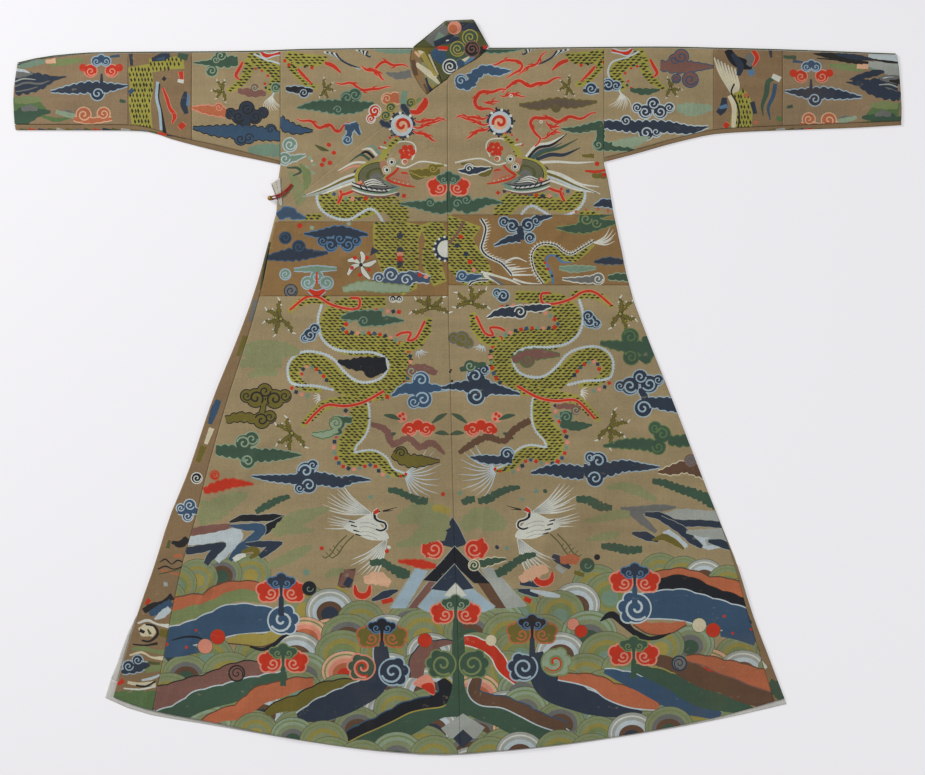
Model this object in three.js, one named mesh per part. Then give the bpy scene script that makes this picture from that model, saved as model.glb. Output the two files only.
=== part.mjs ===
// A chuba: a long-sleeved robe of silk tapestry, laid out flat on its back with its front up.
// Millimetres. +Z is up, +Y runs from hem to collar, and +X is the wearer's left sleeve.
// The cloth lies in three layers: the back, the under front, and the outer front, which crosses
// over the under front from the neck to the wearer's right underarm, where a loop holds it.

import * as THREE from 'three';

// ---------- driving sizes ----------

const CLOTH = 2.0;              // silk tapestry with its lining
const SEAM_GAP = 0.3;           // between two pieces that are sewn together, and between layers
const LAYER = CLOTH + SEAM_GAP; // the height that one layer of cloth takes up
const COLLAR_CLOTH = 2.6;       // the collar band is stiffened
const PIPING_WIDTH = 3.0;       // green cord piping along the shoulders and sleeve tops
const PIPING_RISE = 0.8;        // how far it stands above the front cloth

const SHOULDER_SEAM_LEFT = -354;   // armhole seams, at the top of the table of sides
const SHOULDER_SEAM_RIGHT = 293;
const UNDERARM = 446;              // the sides start here, and the armhole seams end
const NECK_LEFT = -87;             // where the collar meets the shoulder line
const NECK_RIGHT = 61;
const CENTRE_BACK = -13;

const BAND_TOP_LEFT = 331;         // the band let in at the waist, in two halves
const BAND_BOTTOM_LEFT = 183;
const BAND_TOP_RIGHT = 345;
const BAND_BOTTOM_RIGHT = 205;

const FACING_WIDTH = 42;           // pale border along the hem of the back
const GORE_TOP = 291;              // top of the patched gore in one side seam
const STRIP_TOP = -352;            // top of the narrow strip in the other

// ---------- tables of the cut ----------

// Sides of the body: one row for each level, from underarm to hem. goreSeam and stripSeam are the
// inner seams of the narrow pieces let into the two sides, and run with the sides above them.
const BODY_LEVELS = [
  { y: 446, left: -354, goreSeam: -354, stripSeam: 293, right: 293 },
  { y: 420, left: -358, goreSeam: -358, stripSeam: 300, right: 300 },
  { y: 343, left: -363, goreSeam: -362, stripSeam: 313, right: 313 },
  { y: 290, left: -378, goreSeam: -373, stripSeam: 325, right: 325 },
  { y: 200, left: -403, goreSeam: -391, stripSeam: 344, right: 344 },
  { y: 111, left: -435, goreSeam: -416, stripSeam: 376, right: 376 },
  { y: -25, left: -490, goreSeam: -460, stripSeam: 430, right: 430 },
  { y: -178, left: -542, goreSeam: -503, stripSeam: 489, right: 489 },
  { y: -260, left: -576, goreSeam: -523, stripSeam: 521, right: 522 },
  { y: -350, left: -604, goreSeam: -549, stripSeam: 553, right: 558 },
  { y: -450, left: -639, goreSeam: -571, stripSeam: 580, right: 589 },
  { y: -540, left: -666, goreSeam: -587, stripSeam: 607, right: 623 },
  { y: -640, left: -694, goreSeam: -609, stripSeam: 637, right: 661 },
];

// Centre-front seam, which leans towards the wearer's left as it goes down.
const CENTRE_LEVELS = [
  { y: 640, x: -20 },
  { y: 343, x: -19 },
  { y: 175, x: -18 },
  { y: -25, x: -13 },
  { y: -273, x: -7 },
  { y: -450, x: 0 },
  { y: -740, x: 6 },
];

// Free edge of the under front, from the neck down under the outer front to the hem.
const UNDER_EDGE_LEVELS = [
  { y: 690, x: -88 },
  { y: 655, x: -94 },
  { y: 640, x: -92 },
  { y: 600, x: -72 },
  { y: 560, x: -38 },
  { y: 480, x: -4 },
  { y: 343, x: 22 },
  { y: -25, x: 52 },
  { y: -450, x: 78 },
  { y: -740, x: 92 },
];

// Shoulder line and sleeve tops.
const TOP_STATIONS = [
  { x: -890, y: 648 },
  { x: -833, y: 661 },
  { x: -795, y: 666 },
  { x: -725, y: 671 },
  { x: -415, y: 674 },
  { x: -295, y: 678 },
  { x: -87, y: 680 },
  { x: 61, y: 680 },
  { x: 405, y: 682.5 },
  { x: 529, y: 680 },
  { x: 649, y: 677 },
  { x: 837, y: 670 },
  { x: 890, y: 668 },
];

// Undersides of the sleeves: the edge, and the seam of the strip sewn along it.
const LEFT_UNDERARM_STATIONS = [
  { x: -890, edge: 515, seam: 526 },
  { x: -655, edge: 514, seam: 525 },
  { x: -615, edge: 511, seam: 519 },
  { x: -575, edge: 498, seam: 505 },
  { x: -475, edge: 472, seam: 483 },
  { x: -354, edge: 446, seam: 452 },
];
const RIGHT_UNDERARM_STATIONS = [
  { x: 293, edge: 451, seam: 459 },
  { x: 365, edge: 470, seam: 478 },
  { x: 440, edge: 491, seam: 499 },
  { x: 525, edge: 508, seam: 517 },
  { x: 665, edge: 515, seam: 524 },
  { x: 785, edge: 519, seam: 529 },
  { x: 890, edge: 525, seam: 533 },
];

const LEFT_CUFF_LEVELS = [
  { y: 660, x: -878 },
  { y: 620, x: -884 },
  { y: 583, x: -888 },
  { y: 531, x: -886 },
  { y: 505, x: -881 },
];
const RIGHT_CUFF_LEVELS = [
  { y: 680, x: 876 },
  { y: 644, x: 882 },
  { y: 593, x: 886 },
  { y: 563, x: 888 },
  { y: 515, x: 887 },
];

// Hem of the front, and the edge of the pale border of the back, which shows below it.
const HEM_STATIONS = [
  { x: -705, front: -611, back: -620 },
  { x: -647, front: -634, back: -645 },
  { x: -605, front: -646, back: -656 },
  { x: -515, front: -664, back: -671 },
  { x: -262, front: -712, back: -714 },
  { x: -153, front: -725, back: -728 },
  { x: -30, front: -732, back: -736 },
  { x: 77, front: -726, back: -729 },
  { x: 205, front: -713, back: -716 },
  { x: 397, front: -684, back: -687 },
  { x: 530, front: -656, back: -662 },
  { x: 665, front: -618, back: -631 },
];

// Outer edge of the pale border where it climbs the lower left side.
const BORDER_LEVELS = [
  { y: -453, x: -641 },
  { y: -495, x: -661 },
  { y: -555, x: -682 },
  { y: -585, x: -694 },
  { y: -640, x: -710 },
];

// Slanting edge of the outer front, from the collar down to the wearer's right underarm.
const OVERLAP_STATIONS = [
  { x: -368, y: 347 },
  { x: -339, y: 366 },
  { x: -173, y: 503 },
  { x: -59, y: 585 },
  { x: -47, y: 597 },
  { x: -19, y: 617 },
];

// Soft ripples that the front makes where it doesn't lie close: long low swells of the cloth.
// angle is degrees from +X, length and width are the whole swell, height is at its crest.
const RIPPLES = [
  { x: -330, y: -520, angle: 76, length: 520, width: 190, height: 6.5 },
  { x: -120, y: -560, angle: 85, length: 420, width: 150, height: 4.0 },
  { x: 150, y: -545, angle: 96, length: 480, width: 180, height: 6.0 },
  { x: 380, y: -500, angle: 107, length: 440, width: 160, height: 5.0 },
  { x: -260, y: -190, angle: 62, length: 330, width: 150, height: 3.5 },
  { x: 270, y: -120, angle: 110, length: 380, width: 170, height: 4.0 },
  { x: 60, y: 60, angle: 80, length: 360, width: 160, height: 3.0 },
  { x: -170, y: 90, angle: 98, length: 300, width: 130, height: 2.5 },
  { x: 150, y: 420, angle: 35, length: 300, width: 130, height: 3.5 },
  { x: 170, y: 590, angle: -12, length: 240, width: 110, height: 2.5 },
  { x: 470, y: 590, angle: 12, length: 300, width: 110, height: 6.0 },
  { x: 740, y: 600, angle: -4, length: 250, width: 110, height: 5.0 },
  { x: -500, y: 580, angle: -14, length: 260, width: 110, height: 6.0 },
  { x: -745, y: 590, angle: 5, length: 250, width: 110, height: 5.0 },
];

// Creases pressed into the leaf of the collar that goes under the other.
const COLLAR_CREASES = [
  { x: -47, y: 654, angle: -64, length: 52, width: 14, height: 2.2 },
  { x: -56, y: 617, angle: -36, length: 70, width: 14, height: 2.6 },
];

// ---------- curves through the tables ----------

// A smooth curve through a table's rows that never overshoots them (monotone cubic).
function through(rows, from, to) {
  const sorted = [...rows].sort((a, b) => a[from] - b[from]);
  const at = sorted.map((row) => row[from]);
  const value = sorted.map((row) => row[to]);
  const slope = [];
  for (let i = 0; i < at.length - 1; i += 1) {
    slope.push((value[i + 1] - value[i]) / (at[i + 1] - at[i]));
  }
  const tangent = at.map((_, i) => {
    if (i === 0) return slope[0];
    if (i === at.length - 1) return slope[i - 1];
    if (slope[i - 1] * slope[i] <= 0) return 0;
    return (2 * slope[i - 1] * slope[i]) / (slope[i - 1] + slope[i]);
  });
  return (where) => {
    let i = 0;
    while (i < at.length - 2 && where > at[i + 1]) i += 1;
    const step = at[i + 1] - at[i];
    const t = THREE.MathUtils.clamp((where - at[i]) / step, 0, 1);
    const rise = t * t * (3 - 2 * t);
    return value[i] * (1 - rise) + value[i + 1] * rise
      + step * t * (1 - t) * ((1 - t) * tangent[i] - t * tangent[i + 1]);
  };
}

const fixed = (value) => () => value;
const shifted = (curve, by) => (where) => curve(where) + by;

const leftSide = through(BODY_LEVELS, 'y', 'left');
const goreSeam = through(BODY_LEVELS, 'y', 'goreSeam');
const rightSide = through(BODY_LEVELS, 'y', 'right');
const stripSeam = through(BODY_LEVELS, 'y', 'stripSeam');
const centreSeam = through(CENTRE_LEVELS, 'y', 'x');
const underEdge = through(UNDER_EDGE_LEVELS, 'y', 'x');
const topLine = through(TOP_STATIONS, 'x', 'y');
const leftSleeveEdge = through(LEFT_UNDERARM_STATIONS, 'x', 'edge');
const leftSleeveSeam = through(LEFT_UNDERARM_STATIONS, 'x', 'seam');
const rightSleeveEdge = through(RIGHT_UNDERARM_STATIONS, 'x', 'edge');
const rightSleeveSeam = through(RIGHT_UNDERARM_STATIONS, 'x', 'seam');
const leftCuff = through(LEFT_CUFF_LEVELS, 'y', 'x');
const rightCuff = through(RIGHT_CUFF_LEVELS, 'y', 'x');
const frontHem = through(HEM_STATIONS, 'x', 'front');
const backHem = through(HEM_STATIONS, 'x', 'back');
const borderEdge = through(BORDER_LEVELS, 'y', 'x');
const overlapEdge = through(OVERLAP_STATIONS, 'x', 'y');

const clothTop = shifted(topLine, -PIPING_WIDTH - SEAM_GAP);

// ---------- how the cloth lies ----------

const bell = (t) => (Math.abs(t) < 1 ? (1 - t * t) ** 2 : 0);
const ease = (t) => {
  const clamped = THREE.MathUtils.clamp(t, 0, 1);
  return clamped * clamped * (3 - 2 * clamped);
};

function swell(rows, x, y) {
  return rows.reduce((sum, row) => {
    const turn = THREE.MathUtils.degToRad(row.angle);
    const along = (x - row.x) * Math.cos(turn) + (y - row.y) * Math.sin(turn);
    const across = -(x - row.x) * Math.sin(turn) + (y - row.y) * Math.cos(turn);
    return sum + row.height * bell(along / (row.length / 2)) * bell(across / (row.width / 2));
  }, 0);
}

const STEP_START = 60;   // past the under front's free edge the outer front eases down
const STEP_LENGTH = 110;

const onFloor = () => 0;
const onBack = () => LAYER;
const sleeveFront = (x, y) => LAYER + swell(RIPPLES, x, y);
function outerFront(x, y) {
  const step = 1 - ease((x - underEdge(y) - STEP_START) / STEP_LENGTH);
  return LAYER + LAYER * step + swell(RIPPLES, x, y);
}

// ---------- making solids ----------

const evenly = (count) => Array.from({ length: count + 1 }, (_, i) => i / count);

// A wall of cloth over a grid. place(u, v) gives a plan point and lie(x, y, u, v) the height of the
// wall's underside there. columnsAt and rowsAt are rising fractions from 0 to 1.
function clothWall(place, lie, columnsAt, rowsAt, thickness) {
  const positions = [];
  const columns = columnsAt.length - 1;
  const rows = rowsAt.length - 1;
  const across = columns + 1;
  const layerSize = across * (rows + 1);
  for (const top of [0, 1]) {
    for (const v of rowsAt) {
      for (const u of columnsAt) {
        const [x, y] = place(u, v);
        positions.push(x, y, lie(x, y, u, v) + top * thickness);
      }
    }
  }
  const index = [];
  const quad = (a, b, c, d) => index.push(a, b, c, a, c, d);
  for (let j = 0; j < rows; j += 1) {
    for (let i = 0; i < columns; i += 1) {
      const a = j * across + i;
      quad(a, a + across, a + across + 1, a + 1);
      quad(a + layerSize, a + layerSize + 1, a + layerSize + across + 1, a + layerSize + across);
    }
  }
  const wall = (a, b) => quad(a, b, b + layerSize, a + layerSize);
  for (let i = 0; i < columns; i += 1) {
    wall(i, i + 1);
    wall(rows * across + i + 1, rows * across + i);
  }
  for (let j = 0; j < rows; j += 1) {
    wall((j + 1) * across, j * across);
    wall(j * across + columns, (j + 1) * across + columns);
  }
  const geometry = new THREE.BufferGeometry();
  geometry.setAttribute('position', new THREE.Float32BufferAttribute(positions, 3));
  geometry.setIndex(index);
  geometry.computeVertexNormals();
  return geometry;
}

// A patch between four border curves, each a function of 0 to 1 that gives a plan point.
function patch(bottom, top, left, right) {
  const mix = (a, b, t) => a * (1 - t) + b * t;
  return (u, v) => [0, 1].map((axis) => {
    const alongRows = mix(bottom(u)[axis], top(u)[axis], v);
    const alongColumns = mix(left(v)[axis], right(v)[axis], u);
    const corners = mix(
      mix(bottom(0)[axis], bottom(1)[axis], u),
      mix(top(0)[axis], top(1)[axis], u),
      v,
    );
    return alongRows + alongColumns - corners;
  });
}

// The point where an upright line x(y) crosses a level line y(x).
function crossing(upright, level, startY) {
  let y = startY;
  for (let turn = 0; turn < 12; turn += 1) {
    y = level(upright(y));
  }
  return [upright(y), y];
}

// A panel between two upright lines x(y) and two level lines y(x), drawn in by half a seam.
// stops are levels where one of its uprights turns: the grid gets a row there.
function panelPlan({ left, right, bottom, top, stops = [] }, rows) {
  const half = SEAM_GAP / 2;
  const west = shifted(left, half);
  const east = shifted(right, -half);
  const south = shifted(bottom, half);
  const north = shifted(top, -half);
  const middle = (west(0) + east(0)) / 2;
  const southWest = crossing(west, south, bottom(middle));
  const southEast = crossing(east, south, bottom(middle));
  const northWest = crossing(west, north, top(middle));
  const northEast = crossing(east, north, top(middle));
  const levelEdge = (from, to, level) => (t) => {
    const x = from[0] + (to[0] - from[0]) * t;
    return [x, level(x)];
  };
  const uprightEdge = (from, to, upright) => (t) => {
    const y = from[1] + (to[1] - from[1]) * t;
    return [upright(y), y];
  };
  const place = patch(
    levelEdge(southWest, southEast, south),
    levelEdge(northWest, northEast, north),
    uprightEdge(southWest, northWest, west),
    uprightEdge(southEast, northEast, east),
  );
  const fractionOf = ({ side, y }) => {
    const [low, high] = side === 'left' ? [southWest[1], northWest[1]] : [southEast[1], northEast[1]];
    return (y - low) / (high - low);
  };
  const turns = stops.map(fractionOf);
  const spare = 0.35 / rows;
  const clear = (v) => v === 0 || v === 1 || turns.every((turn) => Math.abs(turn - v) > spare);
  const rowsAt = [...evenly(rows).filter(clear), ...turns].sort((a, b) => a - b);
  return { place, rowsAt };
}

const stopsOn = (side, ...levels) => levels.map((y) => ({ side, y }));

// A border curve of straight runs through a few plan points.
function runThrough(points) {
  const path = new THREE.CurvePath();
  for (let i = 0; i < points.length - 1; i += 1) {
    path.add(new THREE.LineCurve(new THREE.Vector2(...points[i]), new THREE.Vector2(...points[i + 1])));
  }
  return (t) => path.getPointAt(t).toArray();
}

// ---------- materials ----------

const silk = (color) => new THREE.MeshStandardMaterial({ color, roughness: 0.8, metalness: 0 });
const GROUND_SILK = silk(0xa58c6e);
const BAND_SILK = silk(0x96734b);
const GREEN_SILK = silk(0x7d8a52);
const NAVY_SILK = silk(0x31415e);
const LINING_SILK = silk(0xc9c6bb);
const PIPING_SILK = silk(0x3d4a22);
const CORD_SILK = silk(0xb02c1c);
const DARK_SILK = silk(0x34302a);
const BRASS = new THREE.MeshStandardMaterial({ color: 0xc9a040, roughness: 0.35, metalness: 0.9 });

const garment = new THREE.Group();

function add(name, geometry, material) {
  const mesh = new THREE.Mesh(geometry, material);
  mesh.name = name;
  garment.add(mesh);
  return mesh;
}

function addPanel(name, borders, lie, columns, rows, material, thickness = CLOTH) {
  const { place, rowsAt } = panelPlan(borders, rows);
  add(name, clothWall(place, lie, evenly(columns), rowsAt, thickness), material);
}

// ---------- the back, which lies on the floor ----------

const BORDER_CLEARANCE = 0.5; // extra room where two curved seams run side by side

function makeBack() {
  const facingTop = shifted(backHem, FACING_WIDTH);
  const bodyBottom = shifted(facingTop, BORDER_CLEARANCE);
  const halves = [
    {
      name: 'back_right', left: leftSide, right: fixed(CENTRE_BACK),
      stops: stopsOn('left', UNDERARM, 420, 380, 343),
    },
    {
      name: 'back_left', left: fixed(CENTRE_BACK), right: rightSide,
      stops: stopsOn('right', UNDERARM, 420),
    },
  ];
  for (const half of halves) {
    addPanel(half.name, { ...half, bottom: bodyBottom, top: clothTop }, onFloor, 9, 20, GROUND_SILK);
  }
  const hemBorder = { left: borderEdge, right: rightSide, bottom: backHem, top: facingTop };
  addPanel('back_hem_facing', hemBorder, onFloor, 30, 1, LINING_SILK);
  const sideBorder = {
    left: borderEdge,
    right: shifted(leftSide, -BORDER_CLEARANCE),
    bottom: shifted(facingTop, 2 * BORDER_CLEARANCE),
    top: fixed(BORDER_LEVELS[0].y - PIPING_WIDTH),
  };
  addPanel('back_side_facing', sideBorder, onFloor, 1, 4, LINING_SILK);
}

// ---------- the fronts ----------

const NECK_STOPS = [587, 600, 612, 626, 640, 655, 668];

function makeUnderFront() {
  const borders = {
    left: leftSide,
    right: underEdge,
    bottom: frontHem,
    top: clothTop,
    stops: [...stopsOn('left', UNDERARM), ...stopsOn('right', ...NECK_STOPS)],
  };
  addPanel('under_front', borders, onBack, 7, 20, GROUND_SILK);
}

// Where the outer front is sewn to the collar, and below that to its other half.
const neckSeam = through([
  { y: 690, x: NECK_RIGHT + 6 },
  { y: 680, x: NECK_RIGHT },
  { y: 663, x: 45 },
  { y: 617, x: -19 },
  { y: 611, x: -19.5 },
], 'y', 'x');
const chestEdge = (y) => (y > 617 ? neckSeam(y) : centreSeam(y));

function makeOuterFront() {
  const bandTopLeft = fixed(BAND_TOP_LEFT);
  const bandTopRight = fixed(BAND_TOP_RIGHT);
  const bandBottomLeft = fixed(BAND_BOTTOM_LEFT);
  const bandBottomRight = fixed(BAND_BOTTOM_RIGHT);
  const pieces = [
    {
      name: 'overlap_chest', columns: 12, rows: 6, material: GROUND_SILK,
      left: leftSide, right: centreSeam, bottom: bandTopLeft, top: overlapEdge,
    },
    {
      name: 'chest_left', columns: 10, rows: 9, material: GROUND_SILK,
      left: chestEdge, right: rightSide, bottom: bandTopRight, top: clothTop,
      stops: [...stopsOn('right', UNDERARM), ...stopsOn('left', 617, 625, 634, 643, 653, 663)],
    },
    {
      name: 'waist_band_right', columns: 12, rows: 4, material: BAND_SILK,
      left: goreSeam, right: centreSeam, bottom: bandBottomLeft, top: bandTopLeft,
    },
    {
      name: 'waist_band_left', columns: 12, rows: 4, material: BAND_SILK,
      left: centreSeam, right: rightSide, bottom: bandBottomRight, top: bandTopRight,
    },
    {
      name: 'skirt_right', columns: 14, rows: 22, material: GREEN_SILK,
      left: goreSeam, right: centreSeam, bottom: frontHem, top: bandBottomLeft,
    },
    {
      name: 'skirt_left', columns: 14, rows: 22, material: GREEN_SILK,
      left: centreSeam, right: stripSeam, bottom: frontHem, top: bandBottomRight,
    },
    {
      name: 'side_gore_right', columns: 2, rows: 22, material: GROUND_SILK,
      left: leftSide, right: goreSeam, bottom: frontHem, top: fixed(GORE_TOP),
    },
    {
      name: 'side_strip_left', columns: 1, rows: 8, material: LINING_SILK,
      left: stripSeam, right: rightSide, bottom: frontHem, top: fixed(STRIP_TOP),
    },
  ];
  for (const piece of pieces) {
    addPanel(piece.name, piece, outerFront, piece.columns, piece.rows, piece.material);
  }
}

// ---------- sleeves ----------

const SLEEVES = [
  {
    side: 'right', edge: leftSleeveEdge, seam: leftSleeveSeam,
    pieces: [
      { part: 'cuff', left: leftCuff, right: fixed(-658), columns: 9, material: NAVY_SILK },
      { part: 'patch', left: fixed(-658), right: fixed(-531), columns: 6, material: GREEN_SILK },
      {
        part: 'upper', left: fixed(-531), right: fixed(SHOULDER_SEAM_LEFT),
        columns: 8, material: GROUND_SILK,
      },
    ],
  },
  {
    side: 'left', edge: rightSleeveEdge, seam: rightSleeveSeam,
    pieces: [
      {
        part: 'upper', left: fixed(SHOULDER_SEAM_RIGHT), right: fixed(512),
        columns: 9, material: GROUND_SILK,
      },
      { part: 'patch', left: fixed(512), right: fixed(650), columns: 6, material: GREEN_SILK },
      { part: 'cuff', left: fixed(650), right: rightCuff, columns: 9, material: NAVY_SILK },
    ],
  },
];

function makeSleeve({ side, edge, seam, pieces }) {
  for (const { part, left, right, columns, material } of pieces) {
    const back = { left, right, bottom: edge, top: clothTop };
    addPanel(`sleeve_${side}_${part}_back`, back, onFloor, columns, 1, material);
    const front = { left, right, bottom: shifted(seam, BORDER_CLEARANCE), top: clothTop };
    addPanel(`sleeve_${side}_${part}_front`, front, sleeveFront, columns, 5, material);
  }
  const strip = { left: pieces[0].left, right: pieces[2].right, bottom: edge, top: seam };
  addPanel(`sleeve_${side}_strip`, strip, sleeveFront, 24, 1, GREEN_SILK);
}

// ---------- piping along the shoulders and the sleeve tops ----------

function makePiping() {
  const runs = [
    { name: 'piping_right', left: leftCuff, right: fixed(NECK_LEFT) },
    { name: 'piping_left', left: fixed(NECK_RIGHT), right: rightCuff },
  ];
  const bottom = shifted(topLine, -PIPING_WIDTH);
  for (const { name, left, right } of runs) {
    const borders = { left, right, bottom, top: topLine };
    addPanel(name, borders, onFloor, 22, 1, PIPING_SILK, 2 * LAYER - SEAM_GAP + PIPING_RISE);
  }
}

// ---------- collar ----------

// Plan points of the collar band, which crosses over itself at the throat.
const LEAF_END_TOP = [-55, 671];
const LEAF_END_BOTTOM = [-29.5, 611.5];
const BAND_CORNER_LEFT = [-23, 731.5];
const BAND_CORNER_RIGHT = [31, 734];
const UNDER_LEAF_FOOT = 588;   // level where the under leaf goes beneath the outer front
const COLLAR_ROLL = 6;         // how far the folded band springs up at its free edge
const LEAF_CLEARANCE = 0.8;    // between the two leaves, side by side at the throat
const COLLAR_PIPING = 2.4;

function makeCollar() {
  const neckLine = topLine(0) + SEAM_GAP;
  const leftFoot = [NECK_LEFT, neckLine];
  const rightFoot = [NECK_RIGHT, neckLine];
  const back = patch(
    runThrough([leftFoot, rightFoot]),
    runThrough([BAND_CORNER_LEFT, BAND_CORNER_RIGHT]),
    runThrough([leftFoot, BAND_CORNER_LEFT]),
    runThrough([rightFoot, BAND_CORNER_RIGHT]),
  );
  add('collar_back', clothWall(back, onFloor, evenly(6), evenly(3), COLLAR_CLOTH), NAVY_SILK);

  const bandCorners = (out) => [
    [NECK_LEFT - out, neckLine],
    [BAND_CORNER_LEFT[0] - out / 2, BAND_CORNER_LEFT[1] + out],
    [BAND_CORNER_RIGHT[0] + out / 2, BAND_CORNER_RIGHT[1] + out],
    [NECK_RIGHT + out, neckLine],
  ];
  const inner = bandCorners(SEAM_GAP);
  const outer = bandCorners(SEAM_GAP + COLLAR_PIPING);
  const sides = inner.length - 1;
  const piping = (u, v) => {
    const corner = Math.round(u * sides);
    return inner[corner].map((value, axis) => value + (outer[corner][axis] - value) * v);
  };
  add('piping_collar', clothWall(piping, onFloor, evenly(sides), evenly(1), COLLAR_CLOTH + PIPING_RISE),
    PIPING_SILK);

  const sewnFrom = 617.8;
  const sewnTo = 680.3;
  const sewnEdge = evenly(8).map((t) => {
    const y = sewnFrom + (sewnTo - sewnFrom) * t;
    return [neckSeam(y) - 2 * SEAM_GAP, y];
  });
  const outerLeaf = patch(
    runThrough([LEAF_END_BOTTOM, ...sewnEdge]),
    runThrough([LEAF_END_TOP, [-21, 691.5], [5, 713], BAND_CORNER_RIGHT]),
    runThrough([LEAF_END_BOTTOM, LEAF_END_TOP]),
    runThrough([sewnEdge.at(-1), BAND_CORNER_RIGHT]),
  );
  const rolled = (x, y, u, v) => 2 * LAYER + SEAM_GAP + COLLAR_ROLL * ease(v) * (1 - 0.35 * u);
  add('collar_outer_leaf', clothWall(outerLeaf, rolled, evenly(12), evenly(6), COLLAR_CLOTH),
    NAVY_SILK);

  const endShift = ([x, y]) => [x - LEAF_CLEARANCE, y];
  const neckTop = clothTop(NECK_LEFT) - SEAM_GAP;
  const sewnUnder = (t) => {
    const y = UNDER_LEAF_FOOT + (neckTop - UNDER_LEAF_FOOT) * t;
    return [underEdge(y) + 2 * SEAM_GAP, y];
  };
  const underLeaf = patch(
    runThrough([sewnUnder(0), [-47, 598], endShift(LEAF_END_BOTTOM)]),
    runThrough([sewnUnder(1), endShift(LEAF_END_TOP)]),
    sewnUnder,
    runThrough([endShift(LEAF_END_BOTTOM), endShift(LEAF_END_TOP)]),
  );
  const creased = (x, y) => LAYER + swell(COLLAR_CREASES, x, y);
  add('collar_under_leaf', clothWall(underLeaf, creased, evenly(8), evenly(10), CLOTH), BAND_SILK);
}

// ---------- the fastening at the wearer's right underarm ----------

const BUTTON = { x: -374.5, y: 378.5, ball: 5, neck: 1.3, height: 10.9 };
const CORD_RADIUS = 1.5;
const TAB_CLOTH = 1.5;
const TAB_DROOP = 1.6;
const BASE_HEIGHT = 1.8;

// Route of the loop, from where it is sewn on to the button: one row for each turn of the cord.
const LOOP_ROUTE = [
  { x: -330.5, y: 406.5, z: 6.2, spread: 1.7 },
  { x: -338, y: 397.5, z: 6.6, spread: 1.7 },
  { x: -346, y: 390, z: 8.2, spread: 1.8 },
  { x: -356, y: 384, z: 8.4, spread: 2.1 },
  { x: -365, y: 380.5, z: 7.6, spread: 2.8 },
];
const LOOP_EYE = { z: 4.6, radius: 3.2 };

function makeTab() {
  const tab = patch(
    runThrough([[-355, 361.5], [-349, 365.5]]),
    runThrough([[-372.5, 407.5], [-353, 421]]),
    runThrough([[-355, 361.5], [-366, 386], [-372.5, 407.5]]),
    runThrough([[-349, 365.5], [-353, 421]]),
  );
  const edge = leftSide(400);
  const droop = (x) => 2 * LAYER - TAB_DROOP * ease((edge - 2 - x) / 14);
  add('closure_tab', clothWall(tab, droop, evenly(5), evenly(8), TAB_CLOTH), LINING_SILK);
}

function makeLoop() {
  const side = (sign) => LOOP_ROUTE.map((row, i) => {
    const next = LOOP_ROUTE[Math.min(i + 1, LOOP_ROUTE.length - 1)];
    const last = LOOP_ROUTE[Math.max(i - 1, 0)];
    const heading = Math.atan2(next.y - last.y, next.x - last.x);
    const shift = sign * row.spread;
    return new THREE.Vector3(
      row.x - Math.sin(heading) * shift,
      row.y + Math.cos(heading) * shift,
      row.z,
    );
  });
  const eye = [70, 130, 180, 230, 290].map((degrees) => {
    const turn = THREE.MathUtils.degToRad(degrees);
    return new THREE.Vector3(
      BUTTON.x + LOOP_EYE.radius * Math.cos(turn),
      BUTTON.y + LOOP_EYE.radius * Math.sin(turn),
      LOOP_EYE.z,
    );
  });
  const route = new THREE.CatmullRomCurve3([...side(-1), ...eye, ...side(1).reverse()]);
  const section = new THREE.Shape();
  section.absarc(0, 0, CORD_RADIUS, 0, Math.PI * 2);
  const geometry = new THREE.ExtrudeGeometry(section, {
    steps: 40,
    curveSegments: 6,
    bevelEnabled: false,
    extrudePath: route,
  });
  add('closure_loop', geometry, CORD_SILK);
}

function makeButton() {
  const neckFoot = BASE_HEIGHT + SEAM_GAP;
  const ballFoot = BUTTON.height - Math.sqrt(BUTTON.ball ** 2 - BUTTON.neck ** 2);
  const profile = [
    new THREE.Vector2(0, neckFoot),
    new THREE.Vector2(BUTTON.neck, neckFoot),
    new THREE.Vector2(BUTTON.neck, ballFoot),
  ];
  const start = Math.asin(BUTTON.neck / BUTTON.ball);
  const steps = 10;
  for (let i = 1; i < steps; i += 1) {
    const turn = start + ((Math.PI - start) * i) / steps;
    profile.push(new THREE.Vector2(
      BUTTON.ball * Math.sin(turn),
      BUTTON.height - BUTTON.ball * Math.cos(turn),
    ));
  }
  profile.push(new THREE.Vector2(0, BUTTON.height + BUTTON.ball));
  const geometry = new THREE.LatheGeometry(profile, 18);
  geometry.rotateX(Math.PI / 2);
  const ball = add('closure_button', geometry, BRASS);
  ball.position.set(BUTTON.x, BUTTON.y, 0);

  const cordWidth = 5;
  const reach = leftSide(BUTTON.y) - 2 * SEAM_GAP - BUTTON.x + cordWidth / 2;
  const foot = new THREE.BoxGeometry(reach, cordWidth, BASE_HEIGHT);
  const base = add('button_cord', foot, DARK_SILK);
  base.position.set(BUTTON.x - cordWidth / 2 + reach / 2, BUTTON.y, BASE_HEIGHT / 2);
}

// ---------- the whole garment ----------

makeBack();
makeUnderFront();
makeOuterFront();
SLEEVES.forEach(makeSleeve);
makePiping();
makeCollar();
makeTab();
makeLoop();
makeButton();

// The origin is the middle of the garment's extent, on the surface that it lies on.
const extent = new THREE.Box3().setFromObject(garment);
const middle = extent.getCenter(new THREE.Vector3());
garment.position.set(-middle.x, -middle.y, -extent.min.z);

export default garment;
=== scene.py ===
# %% [markdown]
# # A chuba of silk tapestry, laid out flat
# A chuba is a long Tibetan robe. This one was cut from Chinese silk tapestry, in which every
# colour is woven in with its own little shuttle, and the pieces were turned and patched until
# the robe was whole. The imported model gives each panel's plan and height. These cells put the
# cloth, its woven pattern, the pipings and the fastening round it.

# %% Load the frame
import math
import random

import bmesh
import bpy
import numpy as np
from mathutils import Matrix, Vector
from mathutils.bvhtree import BVHTree
from mathutils.geometry import delaunay_2d_cdt


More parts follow.
